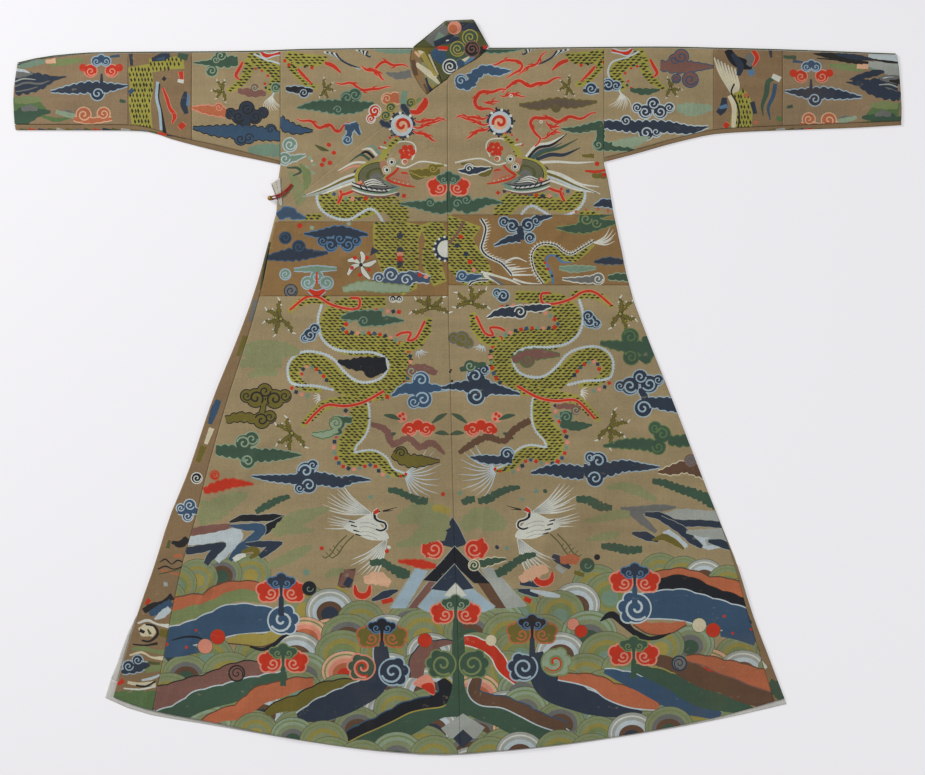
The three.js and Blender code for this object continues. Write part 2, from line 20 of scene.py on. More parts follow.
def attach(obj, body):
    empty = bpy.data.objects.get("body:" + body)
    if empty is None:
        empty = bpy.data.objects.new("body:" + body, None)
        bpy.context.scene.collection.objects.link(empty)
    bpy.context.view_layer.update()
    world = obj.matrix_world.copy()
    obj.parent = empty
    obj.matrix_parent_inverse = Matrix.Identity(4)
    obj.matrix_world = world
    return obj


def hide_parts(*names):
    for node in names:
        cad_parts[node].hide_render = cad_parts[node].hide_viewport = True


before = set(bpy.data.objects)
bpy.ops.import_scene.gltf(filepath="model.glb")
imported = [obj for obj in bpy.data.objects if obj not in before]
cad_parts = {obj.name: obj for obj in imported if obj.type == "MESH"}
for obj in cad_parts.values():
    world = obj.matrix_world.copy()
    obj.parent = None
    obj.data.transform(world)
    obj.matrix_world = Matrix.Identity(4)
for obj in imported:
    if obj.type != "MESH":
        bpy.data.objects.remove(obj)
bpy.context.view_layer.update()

# %% [markdown]
# ## Camera, light and floor
# The robe lies on its back and is looked at from straight above. A long lens from far away
# keeps the plan true. Two big soft lamps stand on opposite sides, the first one stronger, so
# that folds get a light and a dark flank; the pale floor glows a little, as a lit table does.

# %% Camera
MM = 0.001
FRAME_WIDTH = 1.85        # metres of floor across the view
CAMERA_HEIGHT = 6.0
CAMERA_AT = (0.010, 0.0)
SENSOR = 36.0             # mm


def shown(name, data):
    """A new object in the scene, made of data."""
    made = bpy.data.objects.new(name, data)
    bpy.context.scene.collection.objects.link(made)
    return made


camera = shown("camera", bpy.data.cameras.new("camera"))
camera.location = (*CAMERA_AT, CAMERA_HEIGHT)
camera.data.sensor_width = SENSOR
camera.data.lens = SENSOR * CAMERA_HEIGHT / FRAME_WIDTH
camera.data.clip_end = 50.0
bpy.context.scene.camera = camera
print("lens, mm:", round(camera.data.lens, 1))

# %% [markdown]
# ## Dyes worked out as sums
# The look of worn silk comes from noise: a mask here, a blend there. Adding each node by hand is
# slow to read, so a node's output is wrapped, and a plus or a times on it adds the Math node.
# Colours go through Mix nodes, and numbers alone are worked out before they reach a socket.

# %% Shader sums
class Wire:
    """A socket that can be added to, multiplied and so on, each time with a Math node."""

    def __init__(self, dye, socket):
        self.dye, self.socket = dye, socket

    def sum_with(self, operation, first, second):
        return self.dye.node("ShaderNodeMath", {"operation": operation}, {0: first, 1: second})

    def __add__(self, other): return self.sum_with("ADD", self, other)
    def __radd__(self, other): return self.sum_with("ADD", other, self)
    def __sub__(self, other): return self.sum_with("SUBTRACT", self, other)
    def __rsub__(self, other): return self.sum_with("SUBTRACT", other, self)
    def __mul__(self, other): return self.sum_with("MULTIPLY", self, other)
    def __rmul__(self, other): return self.sum_with("MULTIPLY", other, self)
    def __gt__(self, other): return self.sum_with("GREATER_THAN", self, other)


class Dye:
    """One material: node() adds a node, with its settings first and then its sockets."""

    def __init__(self, name):
        self.material = bpy.data.materials.new(name)
        self.material.use_nodes = True
        self.tree = self.material.node_tree
        self.tree.nodes.clear()

    def node(self, kind, settings=None, sockets=None, out=0):
        made = self.tree.nodes.new(kind)
        for key, value in (settings or {}).items():
            if key == "stops":
                ramp = made.color_ramp
                while len(ramp.elements) < len(value):
                    ramp.elements.new(0.5)
                for element, (place, colour) in zip(ramp.elements, value):
                    element.position = place
                    element.color = colour
            else:
                setattr(made, key, value)
        for key, value in (sockets or {}).items():
            socket = made.inputs[key]
            if isinstance(value, Wire):
                self.tree.links.new(value.socket, socket)
            else:
                socket.default_value = value
        return Wire(self, made.outputs[out])

    def blend(self, share, first, second, way="MIX"):
        """Two colours mixed; share may be a Wire or a number."""
        return self.node("ShaderNodeMix", {"data_type": "RGBA", "blend_type": way},
                         {0: share, 6: first, 7: second}, out=2)

    def places(self, stretch, turn=0.0):
        """Places on the piece, in metres, stretched along each axis."""
        return self.node("ShaderNodeMapping", None, {
            "Vector": self.node("ShaderNodeTexCoord", None, None, out="Object"),
            "Rotation": (0.0, 0.0, turn), "Scale": stretch})

    def noise(self, stretch, detail=3.0, rough=0.5, turn=0.0):
        return self.node("ShaderNodeTexNoise", None, {
            "Vector": self.places(stretch, turn), "Scale": 1.0, "Detail": detail,
            "Roughness": rough})

    def between(self, value, low, high, to_low=0.0, to_high=1.0):
        """value brought from low..high to to_low..to_high, and held there."""
        return self.node("ShaderNodeMapRange", None, {
            "Value": value, "From Min": low, "From Max": high,
            "To Min": to_low, "To Max": to_high})

    def relief(self, height, depth, under=None):
        """A Bump node: height from 0 to 1 stands for depth metres."""
        sockets = {"Height": height, "Distance": depth, "Strength": 1.0}
        if under is not None:
            sockets["Normal"] = under
        return self.node("ShaderNodeBump", None, sockets)

    def finish(self, **sockets):
        words = {key.replace("_", " "): value for key, value in sockets.items()}
        shader = self.node("ShaderNodeBsdfPrincipled", None, words)
        self.node_out(shader)
        return self.material

    def node_out(self, shader):
        end = self.tree.nodes.new("ShaderNodeOutputMaterial")
        self.tree.links.new(shader.socket, end.inputs["Surface"])


def light_of(r, g, b):
    """A colour as it is mixed by eye, 0 to 255, as the linear numbers that light adds up in."""
    parts = np.array([r, g, b], float) / 255
    linear = np.where(parts <= 0.04045, parts / 12.92, ((parts + 0.055) / 1.055) ** 2.4)
    return (*map(float, linear), 1.0)


# %% [markdown]
# ## Floor and lamps
# The floor is a wide sheet of pale paper just under the cloth. It reaches far past the robe, so
# that a low view shows no edge of it close by.

# %% Floor and lamps
FLOOR_GLOW, ROOM_LIGHT = 0.45, 0.28
FLOOR_REACH, FLOOR_DROP = 14.0, 0.0004      # metres to each side, and metres under the cloth
floor_dye = Dye("floor_paper")
floor_material = floor_dye.finish(
    Base_Color=light_of(188, 187, 189), Roughness=0.9, Specular_IOR_Level=0.1,
    Emission_Color=(0.985, 0.965, 1.0, 1.0), Emission_Strength=FLOOR_GLOW)
floor_mesh = bpy.data.meshes.new("floor")
floor_mesh.from_pydata([(x * FLOOR_REACH, y * FLOOR_REACH, -FLOOR_DROP)
                        for x, y in ((-1, -1), (1, -1), (1, 1), (-1, 1))], [], [(0, 1, 2, 3)])
floor_mesh.materials.append(floor_material)
shown("floor", floor_mesh)

LAMPS = {   # place in metres, side of the square lamp, watts
    "lamp_main": ((-3.4, 2.4, 3.1), 1.8, 182.0),
    "lamp_fill": ((2.4, -1.2, 2.8), 2.2, 30.0),
}
for name, (place, side, watts) in LAMPS.items():
    lamp = bpy.data.lights.new(name, "AREA")
    lamp.shape, lamp.size, lamp.energy = "SQUARE", side, watts
    made = shown(name, lamp)
    made.location = place
    made.rotation_euler = (-Vector(place)).to_track_quat("-Z", "Y").to_euler()

room = bpy.data.worlds.new("room")
room.use_nodes = True
room.node_tree.nodes["Background"].inputs["Color"].default_value = (0.96, 0.98, 1.0, 1.0)
room.node_tree.nodes["Background"].inputs["Strength"].default_value = ROOM_LIGHT
bpy.context.scene.world = room
bpy.context.scene.view_settings.view_transform = "Standard"   # dyes keep their own depth
print("lamps:", len(LAMPS))

# %% [markdown]
# ## Dyed silks
# The weaver's basket of colours. A few of them, such as the tan ground, have faded to
# different browns in the robe's different pieces.

# %% Colours of the silk
DEPTH_OF_DYE = 1.05     # how much purer each colour is mixed than it looks in the table
SILKS = {
    "ground": (156, 138, 104), "band": (139, 108, 68), "patch": (134, 110, 80),
    "sleeve": (142, 120, 92), "lining": (196, 190, 178), "facing": (206, 203, 196),
    "navy": (44, 54, 68), "blue": (56, 80, 104), "sky": (88, 120, 150), "pale": (158, 178, 188),
    "ice": (186, 196, 198), "teal": (116, 140, 120), "mint": (142, 158, 132),
    "green": (60, 84, 66), "leaf": (88, 112, 70), "spring": (120, 132, 86),
    "olive": (108, 98, 42), "moss": (82, 84, 48), "scale": (156, 150, 70),
    "gold": (160, 144, 74), "red": (190, 54, 34), "pink": (212, 140, 118),
    "salmon": (178, 102, 70), "peach": (214, 170, 138),
    "flesh": (168, 122, 96), "cap": (100, 100, 72), "bark": (98, 84, 68), "mauve": (122, 86, 76),
    "brown": (96, 70, 52), "smoke": (108, 108, 104), "black": (26, 28, 34),
    "ink": (38, 36, 34), "white": (208, 208, 196), "cream": (206, 196, 166),
    "stone": (160, 164, 156), "wash": (136, 138, 98), "tick": (48, 44, 26),
    "hill": (130, 138, 104), "straw": (146, 136, 72),
}
SILK_NAMES = list(SILKS)
SILK_LIGHT = np.array([light_of(*SILKS[name]) for name in SILK_NAMES])
grey = SILK_LIGHT[:, :3].mean(1, keepdims=True)
SILK_LIGHT[:, :3] = np.maximum(grey + DEPTH_OF_DYE * (SILK_LIGHT[:, :3] - grey), 0.003)
print("silks:", len(SILKS))

# %% [markdown]
# ## The cartoon
# Tapestry weavers work over a drawing, the cartoon. This one is ruled in 2 mm squares, counted
# to the right from the left cuff and down from the collar. Each shape is a small polygon of one
# silk, woven over the shapes before it, and belongs to the panels named as its field.

# %% Drawing on the cartoon
SQUARE = 2.0                      # mm
CHART_MIDDLE = (457.5, 387.5)     # the square at the robe's middle
HAND = random.Random(1271)        # the weaver's hand, which is never quite even
shapes = []                       # (points in mm, silk, fields)


def squares(points):
    """Chart squares as millimetres on the robe."""
    p = np.asarray(points, float).reshape(-1, 2)
    return (p - CHART_MIDDLE) * (SQUARE, -SQUARE)


def area_of(p):
    x, y = p[:, 0], p[:, 1]
    return float(np.dot(x, np.roll(y, -1)) - np.dot(y, np.roll(x, -1))) / 2


def weave(field, silk, points):
    """One polygon of one silk, given in chart squares."""
    p = squares(points)
    size = area_of(p)
    if abs(size) > 0.02:
        shapes.append((p if size > 0 else p[::-1], SILK_NAMES.index(silk),
                       (field,) if isinstance(field, str) else field))


# %% Soft lines
def smooth(points, step=2.5):
    """A soft curve through points (Catmull-Rom), with a point about every step squares."""
    p = np.asarray(points, float)
    if len(p) < 3:
        count = max(2, int(np.hypot(*(p[-1] - p[0])[:2]) / step) + 1)
        return p[0] + (p[-1] - p[0]) * np.linspace(0, 1, count)[:, None]
    wide = np.vstack([2 * p[0] - p[1], p, 2 * p[-1] - p[-2]])
    found = []
    for i in range(1, len(wide) - 2):
        a, b, c, d = wide[i - 1:i + 3]
        count = max(1, int(round(np.hypot(*(c - b)[:2]) / step)))
        t = (np.arange(count) / count)[:, None]
        found.append(0.5 * (2 * b + (c - a) * t + (2 * a - 5 * b + 4 * c - d) * t ** 2
                            + (3 * b - a - 3 * c + d) * t ** 3))
    return np.vstack([*found, p[-1:]])


def closed(points):
    """A soft closed outline through points."""
    p = np.asarray(points, float)
    n = len(p)
    run = smooth(np.vstack([p[-2:], p, p[:2]]))
    start = np.hypot(*(run - p[0]).T).argmin()
    end = len(run) - 1 - np.hypot(*(run[::-1] - p[0]).T).argmin()
    return run[start:end] if end > start + n // 2 else p


def sides_of(path):
    """Unit vectors across a path, at each of its points."""
    run = np.gradient(path, axis=0)
    run /= np.maximum(np.hypot(run[:, 0], run[:, 1]), 1e-9)[:, None]
    return np.stack([-run[:, 1], run[:, 0]], 1)


def length_along(path):
    """How far along a flat path each of its points lies."""
    return np.concatenate([[0], np.cumsum(np.hypot(*np.diff(path, axis=0).T))])


# %% Strokes, discs and spirals
def stroke(field, silk, points, width, grow=0.0, step=2.5, ripple=0.0, pitch=9.0, soft=True):
    """A band of silk along points. width is a number or one number for each point; ripple makes
    its edges scalloped, one scallop every pitch squares."""
    p = np.asarray(points, float)
    w = np.broadcast_to(np.asarray(width, float), len(p))
    both = np.column_stack([p, w])
    run = smooth(both, step) if soft else both
    path, w = run[:, :2], np.maximum(run[:, 2], 0.0)
    across = sides_of(path)
    along = length_along(path)
    if ripple:
        beat = np.abs(np.sin(np.pi * along / pitch))
        other = np.abs(np.sin(np.pi * along / pitch + 1.1))
        left, right = w / 2 * (1 - ripple + ripple * beat), w / 2 * (1 - ripple + ripple * other)
    else:
        left = right = w / 2
    left, right = left + grow, right + grow
    a, b = path + across * left[:, None], path - across * right[:, None]
    quads = np.stack([a[:-1], a[1:], b[1:], b[:-1]], 1)
    ahead = np.roll(quads, -1, axis=1) - quads
    turn = ahead[:, :, 0] * np.roll(ahead, -1, axis=1)[:, :, 1] \
        - ahead[:, :, 1] * np.roll(ahead, -1, axis=1)[:, :, 0]
    plain = (turn > 0).all(1) | (turn < 0).all(1)
    for quad, whole in zip(quads, plain):
        if whole:
            weave(field, silk, quad)
        else:
            weave(field, silk, quad[:3])
            weave(field, silk, quad[[0, 2, 3]])


def disc(field, silk, x, y, r, grow=0.0, tall=1.0, points=None, turn=0.0):
    """A round of silk, or an oval one if tall isn't 1, with few or many corners."""
    count = points or max(8, int(4 + 1.7 * (r + grow)))
    t = np.arange(count) * 2 * np.pi / count
    p = np.stack([(r + grow) * np.cos(t), (r * tall + grow) * np.sin(t)], 1)
    c, s = math.cos(math.radians(turn)), math.sin(math.radians(turn))
    weave(field, silk, p @ np.array([[c, s], [-s, c]]) + (x, y))


def curl(field, silk, x, y, r, way=1, start=0.0, line=1.5, turns=1.25):
    """The spiral line in a cloud's head: it starts on the rim at angle start, in degrees from
    the right, and winds inwards; way is 1 for clockwise as seen on the cartoon."""
    t = np.linspace(0, 1, 9 + int(9 * turns))
    angle = math.radians(start) + way * 2 * np.pi * turns * t
    radius = r * (1 - 0.86 * t)
    path = np.stack([x + radius * np.cos(angle), y + radius * np.sin(angle)], 1)
    stroke(field, silk, path, line, soft=False)


print("cartoon is ruled in squares of", SQUARE, "mm")

# %% [markdown]
# ## The weaver's small vocabulary
# The whole pattern is made from a few things that tapestry weavers drew for centuries: clouds
# with curling heads and scalloped tails, scaled dragon bodies with a white mane of bristles,
# claws like twigs, wavy red flames, flowers, cranes, and hills that overlap like fish scales.
# Each is one function here, and long tables below say where the weaver put it.

# %% Clouds, lines and dots
def line(field, silk, points, width, edge=None, rim=1.1, **more):
    """A band of silk with, if edge is given, a thin outline of another silk."""
    if edge:
        stroke(field, edge, points, width, grow=rim, **more)
    stroke(field, silk, points, width, **more)


def cloud(field, fill, edge, heads, tails, rim=1.1, ripple=0.36, pitch=7.5):
    """Heads are (x, y, radius, way, start); tails are (points, widths)."""
    for silk, grow in ((edge, rim), (fill, 0.0)):
        if silk:
            for points, widths in tails:
                stroke(field, silk, points, widths, grow=grow, ripple=ripple, pitch=pitch)
            for x, y, r, *_ in heads:
                disc(field, silk, x, y, r, grow)
    for x, y, r, way, start in heads:
        curl(field, edge or "mint", x, y, r * 0.86, way, start, line=max(1.0, 0.2 * r))


def lobes(field, fill, edge, x, y, r, rim=1.1, top=True, spread=1.0):
    """A ruyi head: two curls that face each other under a rounded brow."""
    wide = 1.02 * r * spread
    spots = [(x - wide, y, r), (x + wide, y, r)] + ([(x, y - 0.62 * r, 0.8 * r)] if top else [])
    for silk, grow in ((edge, rim), (fill, 0.0)):
        for a, b, c in spots:
            disc(field, silk, a, b, c, grow)
    curl(field, edge, x - wide, y + 0.1 * r, 0.78 * r, 1, 25, max(0.9, 0.2 * r))
    curl(field, edge, x + wide, y + 0.1 * r, 0.78 * r, -1, 155, max(0.9, 0.2 * r))


def dots(field, rows):
    """Rows of (silk, radius, places)."""
    for silk, r, places in rows:
        for x, y in places:
            disc(field, silk, x, y, r, tall=HAND.uniform(0.75, 1.1), points=7,
                 turn=HAND.uniform(0, 50))


# %% Flames and fans of hair
def flame(field, points, width):
    """A wavy red flame that thins to a point at both ends, with forks on alternate sides."""
    run = smooth(points, 2.0)
    along = np.linspace(0, 1, len(run))
    swing = np.sin(along * len(run) * 0.62) * 1.1
    run = run + sides_of(run) * swing[:, None]
    side = sides_of(run)
    line(field, "red", run, 0.8 * width * np.sin(np.pi * np.clip(along, 0.04, 0.97)) ** 0.5,
         "pink", 0.6, soft=False)
    for k, share in enumerate((0.3, 0.52, 0.74)):
        at = int(share * (len(run) - 2))
        ahead = run[at + 1] - run[at]
        ahead = ahead / max(float(np.hypot(*ahead)), 1e-6)
        out = side[at] * (1 if k % 2 else -1)
        stroke(field, "red", [run[at], run[at] + 2.2 * out + 2.4 * ahead,
                              run[at] + 2.8 * out + 6.0 * ahead], [1.9, 1.5, 0.3])


def fan(field, silk, x, y, start, stop, count, reach, width=0.9, bend=0.25, first=0.0):
    """Hairs or feathers that spread from one place; angles in degrees, clockwise from right."""
    for k in range(count):
        a = math.radians(start + (stop - start) * k / max(count - 1, 1))
        far = reach * HAND.uniform(0.86, 1.1)
        c, s = math.cos(a), math.sin(a)
        near, mid = first, 0.55 * far
        stroke(field, silk, [
            (x + near * c, y + near * s), (x + mid * c - bend * mid * s,
                                           y + mid * s + bend * mid * c),
            (x + far * c, y + far * s)], [width, width, 0.25])


# %% Dragon's body
SCALE_WIDE, SCALE_TALL = 5.4, 2.75      # squares from one scale to the next


def mane_line(field, points, silk="ice"):
    """A pale line with short bristles on both its sides."""
    run = smooth(points, 1.0)
    stroke(field, silk, run, 2.1, soft=False)
    across = sides_of(run)
    for k in range(1, len(run) - 1, 3):
        side = across[k] * HAND.uniform(1.5, 2.0)
        stroke(field, silk, [run[k] - side, run[k], run[k] + side], [0.7, 2.2, 0.7])


def scales(field, spine, widths, back=None, wide=SCALE_WIDE, tall=SCALE_TALL, ground="scale",
           tick="tick", mane="ice", upright=False):
    """A scaled body: short dark ticks in brick rows on yellow-green, and a bumpy white line
    along one side of it, back being 1 or -1 for that side."""
    both = smooth(np.column_stack([spine, np.broadcast_to(widths, len(spine))]), 2.5)
    path, w = both[:, :2], both[:, 2]
    across = sides_of(path)
    if back:
        mane_line(field, path + across * (back * (w / 2 + 0.8))[:, None], mane)
    stroke(field, ground, path, w, soft=False)
    low, high = path.min(0) - w.max() / 2, path.max(0) + w.max() / 2
    spots = []
    for row, y in enumerate(np.arange(low[1], high[1], tall)):
        for x in np.arange(low[0] + (row % 2) * wide / 2, high[0], wide):
            spots.append((x + HAND.uniform(-0.5, 0.5), y + HAND.uniform(-0.3, 0.3)))
    spots = np.array(spots)
    far = np.sqrt(((spots[:, None] - path) ** 2).sum(2))
    nearest = far.argmin(1)
    for (x, y), gap, near in zip(spots, far.min(1), nearest):
        if gap < w[near] / 2 - 0.9 and 0 < near < len(path) - 1:
            half, thick = HAND.uniform(2.2, 3.0), HAND.uniform(0.9, 1.35)
            mark = np.array([(-half, -0.25), (-0.4, -thick), (half, -0.1), (0.6, thick)])
            weave(field, tick, (mark[:, ::-1] if upright else mark) + (x, y))


BELLY_SILKS = ("red", "navy", "pink", "teal", "red", "blue")


def belly(field, points, r, step=5.6):
    """The small coloured squares under a dragon's belly."""
    run = smooth(points, 1.0)
    along = length_along(run)
    for k, at in enumerate(np.arange(0, along[-1], step)):
        x, y = (np.interp(at, along, run[:, i]) for i in (0, 1))
        disc(field, BELLY_SILKS[k % len(BELLY_SILKS)], x, y, 1.35 * r * HAND.uniform(0.85, 1.1),
             points=4,
             turn=HAND.uniform(0, 90))


# %% Claws
def claw(field, x, y, turn, reach=18.0):
    """A foot of five toes like knotty twigs, with white nails."""
    middle = np.array([x, y], float)
    for k in range(5):
        a = math.radians(turn + (k - 2) * 54 + HAND.uniform(-8, 8))
        far = reach * HAND.uniform(0.86, 1.08)
        way, side = np.array([math.cos(a), math.sin(a)]), np.array([-math.sin(a), math.cos(a)])
        bend = side * far * (0.09 if k % 2 else -0.09)
        toe = [middle, middle + way * 0.5 * far + bend, middle + way * far]
        thick = np.array([0.15, 0.14, 0.09]) * reach
        nubs = [(middle + way * share * far + bend, long * reach)
                for share, long in ((0.46, 0.19), (0.76, 0.15))]
        for name, grow in (("ink", 0.4), ("olive", 0)):
            stroke(field, name, toe, thick, grow=grow)
            for at, long in nubs:
                stroke(field, name, [at - side * long, at + side * long], 0.095 * reach, grow=grow)
        for (at, long), name in zip(nubs, ("scale", "white")):
            disc(field, name, *(at + side * long), 0.055 * reach, points=5)
            disc(field, "scale", *(at - side * long), 0.05 * reach, points=5)
        nail = way + side * (0.6 if k % 2 else -0.6)
        stroke(field, "white", [toe[2], toe[2] + 0.2 * reach * nail], [0.1 * reach, 0.04 * reach])
    disc(field, "ink", x, y, 0.13 * reach, points=8)
    disc(field, "scale", x, y, 0.09 * reach, points=6)


# %% Drawing a thing twice, the second time turned over
FOLDS = []        # the fold in use: (twice the fold's column, squares to lower)
plain_squares = squares


def squares(points):
    p = np.array(points, float).reshape(-1, 2)
    for column, lower in FOLDS:
        p = np.stack([column - p[:, 0], p[:, 1] + lower], 1)
    return plain_squares(p)


def both_sides(draw, column, lower, left=(), right=()):
    """draw(*left) as it is, then draw(*right) turned over about column / 2."""
    draw(*left)
    FOLDS.append((column, lower))
    draw(*right)
    FOLDS.pop()


print("vocabulary ready")

# %% [markdown]
# ## The two great dragons
# Their heads look at each other under the pearls on the chest, their necks pass under the
# browner band let in at the waist, and their bodies coil on the skirt below it. One is drawn
# and turned over for the other, a little higher, as weavers did with a half cartoon.

# %% Coils on the skirt
SKIRT = "skirt"
COIL = [(386, 301), (362, 303.5), (342, 310), (333, 322), (336, 336), (348, 344), (368, 345),
        (386, 349), (398, 358), (401, 369), (393, 381), (376, 390), (357, 391), (341, 383),
        (329, 371), (318, 362), (304, 359), (295, 366), (295, 378), (304, 386.5), (322, 391)]
COIL_WIDTHS = [11, 14, 22, 26, 24, 22, 24, 25, 24, 23, 22, 20, 19, 19, 18, 16, 15, 13, 11, 9, 4]
COIL_BACK = [(322, 304), (318, 321), (322, 338), (334, 348.5), (351, 352), (372, 352.5),
             (385, 358), (388, 367), (381, 378), (366, 382.5), (354, 379.5), (343, 370),
             (334, 359.5), (322, 353.5), (306, 351.5), (294, 356.5), (288, 367), (290, 381),
             (299, 385), (316, 386), (334, 390)]
TAIL = [(357, 400), (359.5, 412), (357.5, 428), (348, 441), (345.5, 454), (354, 460),
        (371, 457), (382, 462), (390, 472), (405, 476)]
TAIL_WIDTHS = [17, 18, 19, 18, 16, 14, 12, 11, 8, 3]


def coils():
    """Tail, body and legs of the left dragon, with feet and bristles."""
    scales(SKIRT, TAIL, TAIL_WIDTHS, back=-1)
    belly(SKIRT, [(346, 405), (345, 420), (338, 432), (334, 448), (340, 464), (354, 469),
                  (366, 466), (374, 465), (381, 473), (392, 478)], 1.9)
    fan(SKIRT, "ice", 404, 475, -50, 62, 11, 37, 1.1, 0.12, 3)
    dots(SKIRT, [("red", 1.7, [(401, 476), (406, 474)]), ("navy", 1.4, [(396, 474)])])
    scales(SKIRT, COIL, COIL_WIDTHS)
    mane_line(SKIRT, COIL_BACK)
    belly(SKIRT, [(399, 312), (386, 311), (376, 311), (352, 320), (343, 330), (352, 333),
                  (366, 333), (377, 334), (389, 337), (400, 343), (409, 352), (410, 366),
                  (405, 383), (390, 396), (372, 400)], 2.0)
    belly(SKIRT, [(302, 374), (305, 367), (314, 368), (322, 374), (328, 382)], 1.8, 5.0)
    belly(SKIRT, [(292, 388), (298, 393), (308, 396)], 1.9, 6.0)
    # legs, each with a red line along it, and their feet
    scales(SKIRT, [(330, 301), (312, 299), (299, 303), (289, 312)], [9, 9, 8, 5])
    line(SKIRT, "red", [(290, 310), (306, 297.5), (318, 297), (330, 304), (345, 308.5),
                        (358, 308.5), (359.5, 299), (351, 298)], 2.3, "pink", 0.6)
    claw(SKIRT, 281, 319, 165)
    scales(SKIRT, [(400, 346), (414, 345), (425, 333), (429, 318)], [7, 11, 10, 6])
    line(SKIRT, "red", [(396, 336), (402, 333), (411, 333), (408, 340), (416, 338), (425, 321)],
         2.3, "pink", 0.6)
    claw(SKIRT, 430, 308, -90)
    fan(SKIRT, "ice", 419, 349, 20, 110, 5, 9, 1.2, 0.2, 2)
    scales(SKIRT, [(384, 393), (352, 400), (326, 405), (312, 416), (302, 426)],
           [12, 11, 10, 9, 5])
    line(SKIRT, "red", [(384, 391), (364, 402), (346, 406), (327, 405), (316, 413), (306, 424)],
         2.4, "pink", 0.6)
    claw(SKIRT, 292, 433, 150)
    fan(SKIRT, "white", 322, 398, 130, 215, 5, 10, 1.1, 0.2, 2)


both_sides(coils, 901, -5)
print("coils:", len(shapes), "shapes so far")

# %% [markdown]
# ### Necks, heads and pearls
# Each head is in profile: flying hair, a rounded cap with a rim of scales, a striped beard on
# the lower jaw, and two round eyes that look out of the cloth. One outline with its details
# inside would do, but small shapes laid over each other keep the edge of every silk crisp.

# %% Necks on the chest
CHEST = ("under", "chest")
CLOSE_COIL = ([(399, 226), (398, 212), (384, 203), (366, 206), (348, 209), (332, 206),
               (325, 196), (334, 188)], [16, 20, 19, 22, 24, 20, 13, 6])
OPEN_COIL = ([(399, 226), (398, 212), (386, 202), (369, 201), (353, 206), (339, 208.5),
              (327, 204), (321, 194), (327, 186)], [16, 19, 17, 15, 14, 14, 14, 11, 4])


def neck(field, coil):
    """Body under the head, which comes up out of the waist band."""
    scales(field, *coil)
    mane_line(field, [(385, 226), (378, 214), (370, 209), (360, 214), (348, 220),
                      (332, 217), (321, 209), (317, 198), (320, 190)])
    belly(field, [(404, 196), (393, 194), (380, 196), (362, 199), (350, 199), (338, 197),
                  (332, 192)], 1.9, 6.5)
    line(field, "red", [(338, 204), (342, 195), (340, 191)], 2.6, "pink", 0.5)
    line(field, "red", [(342, 195), (349, 193), (356, 190)], 2.6, "pink", 0.5)
    scales(field, [(322, 217), (310, 217), (299, 220)], [7, 6, 3])


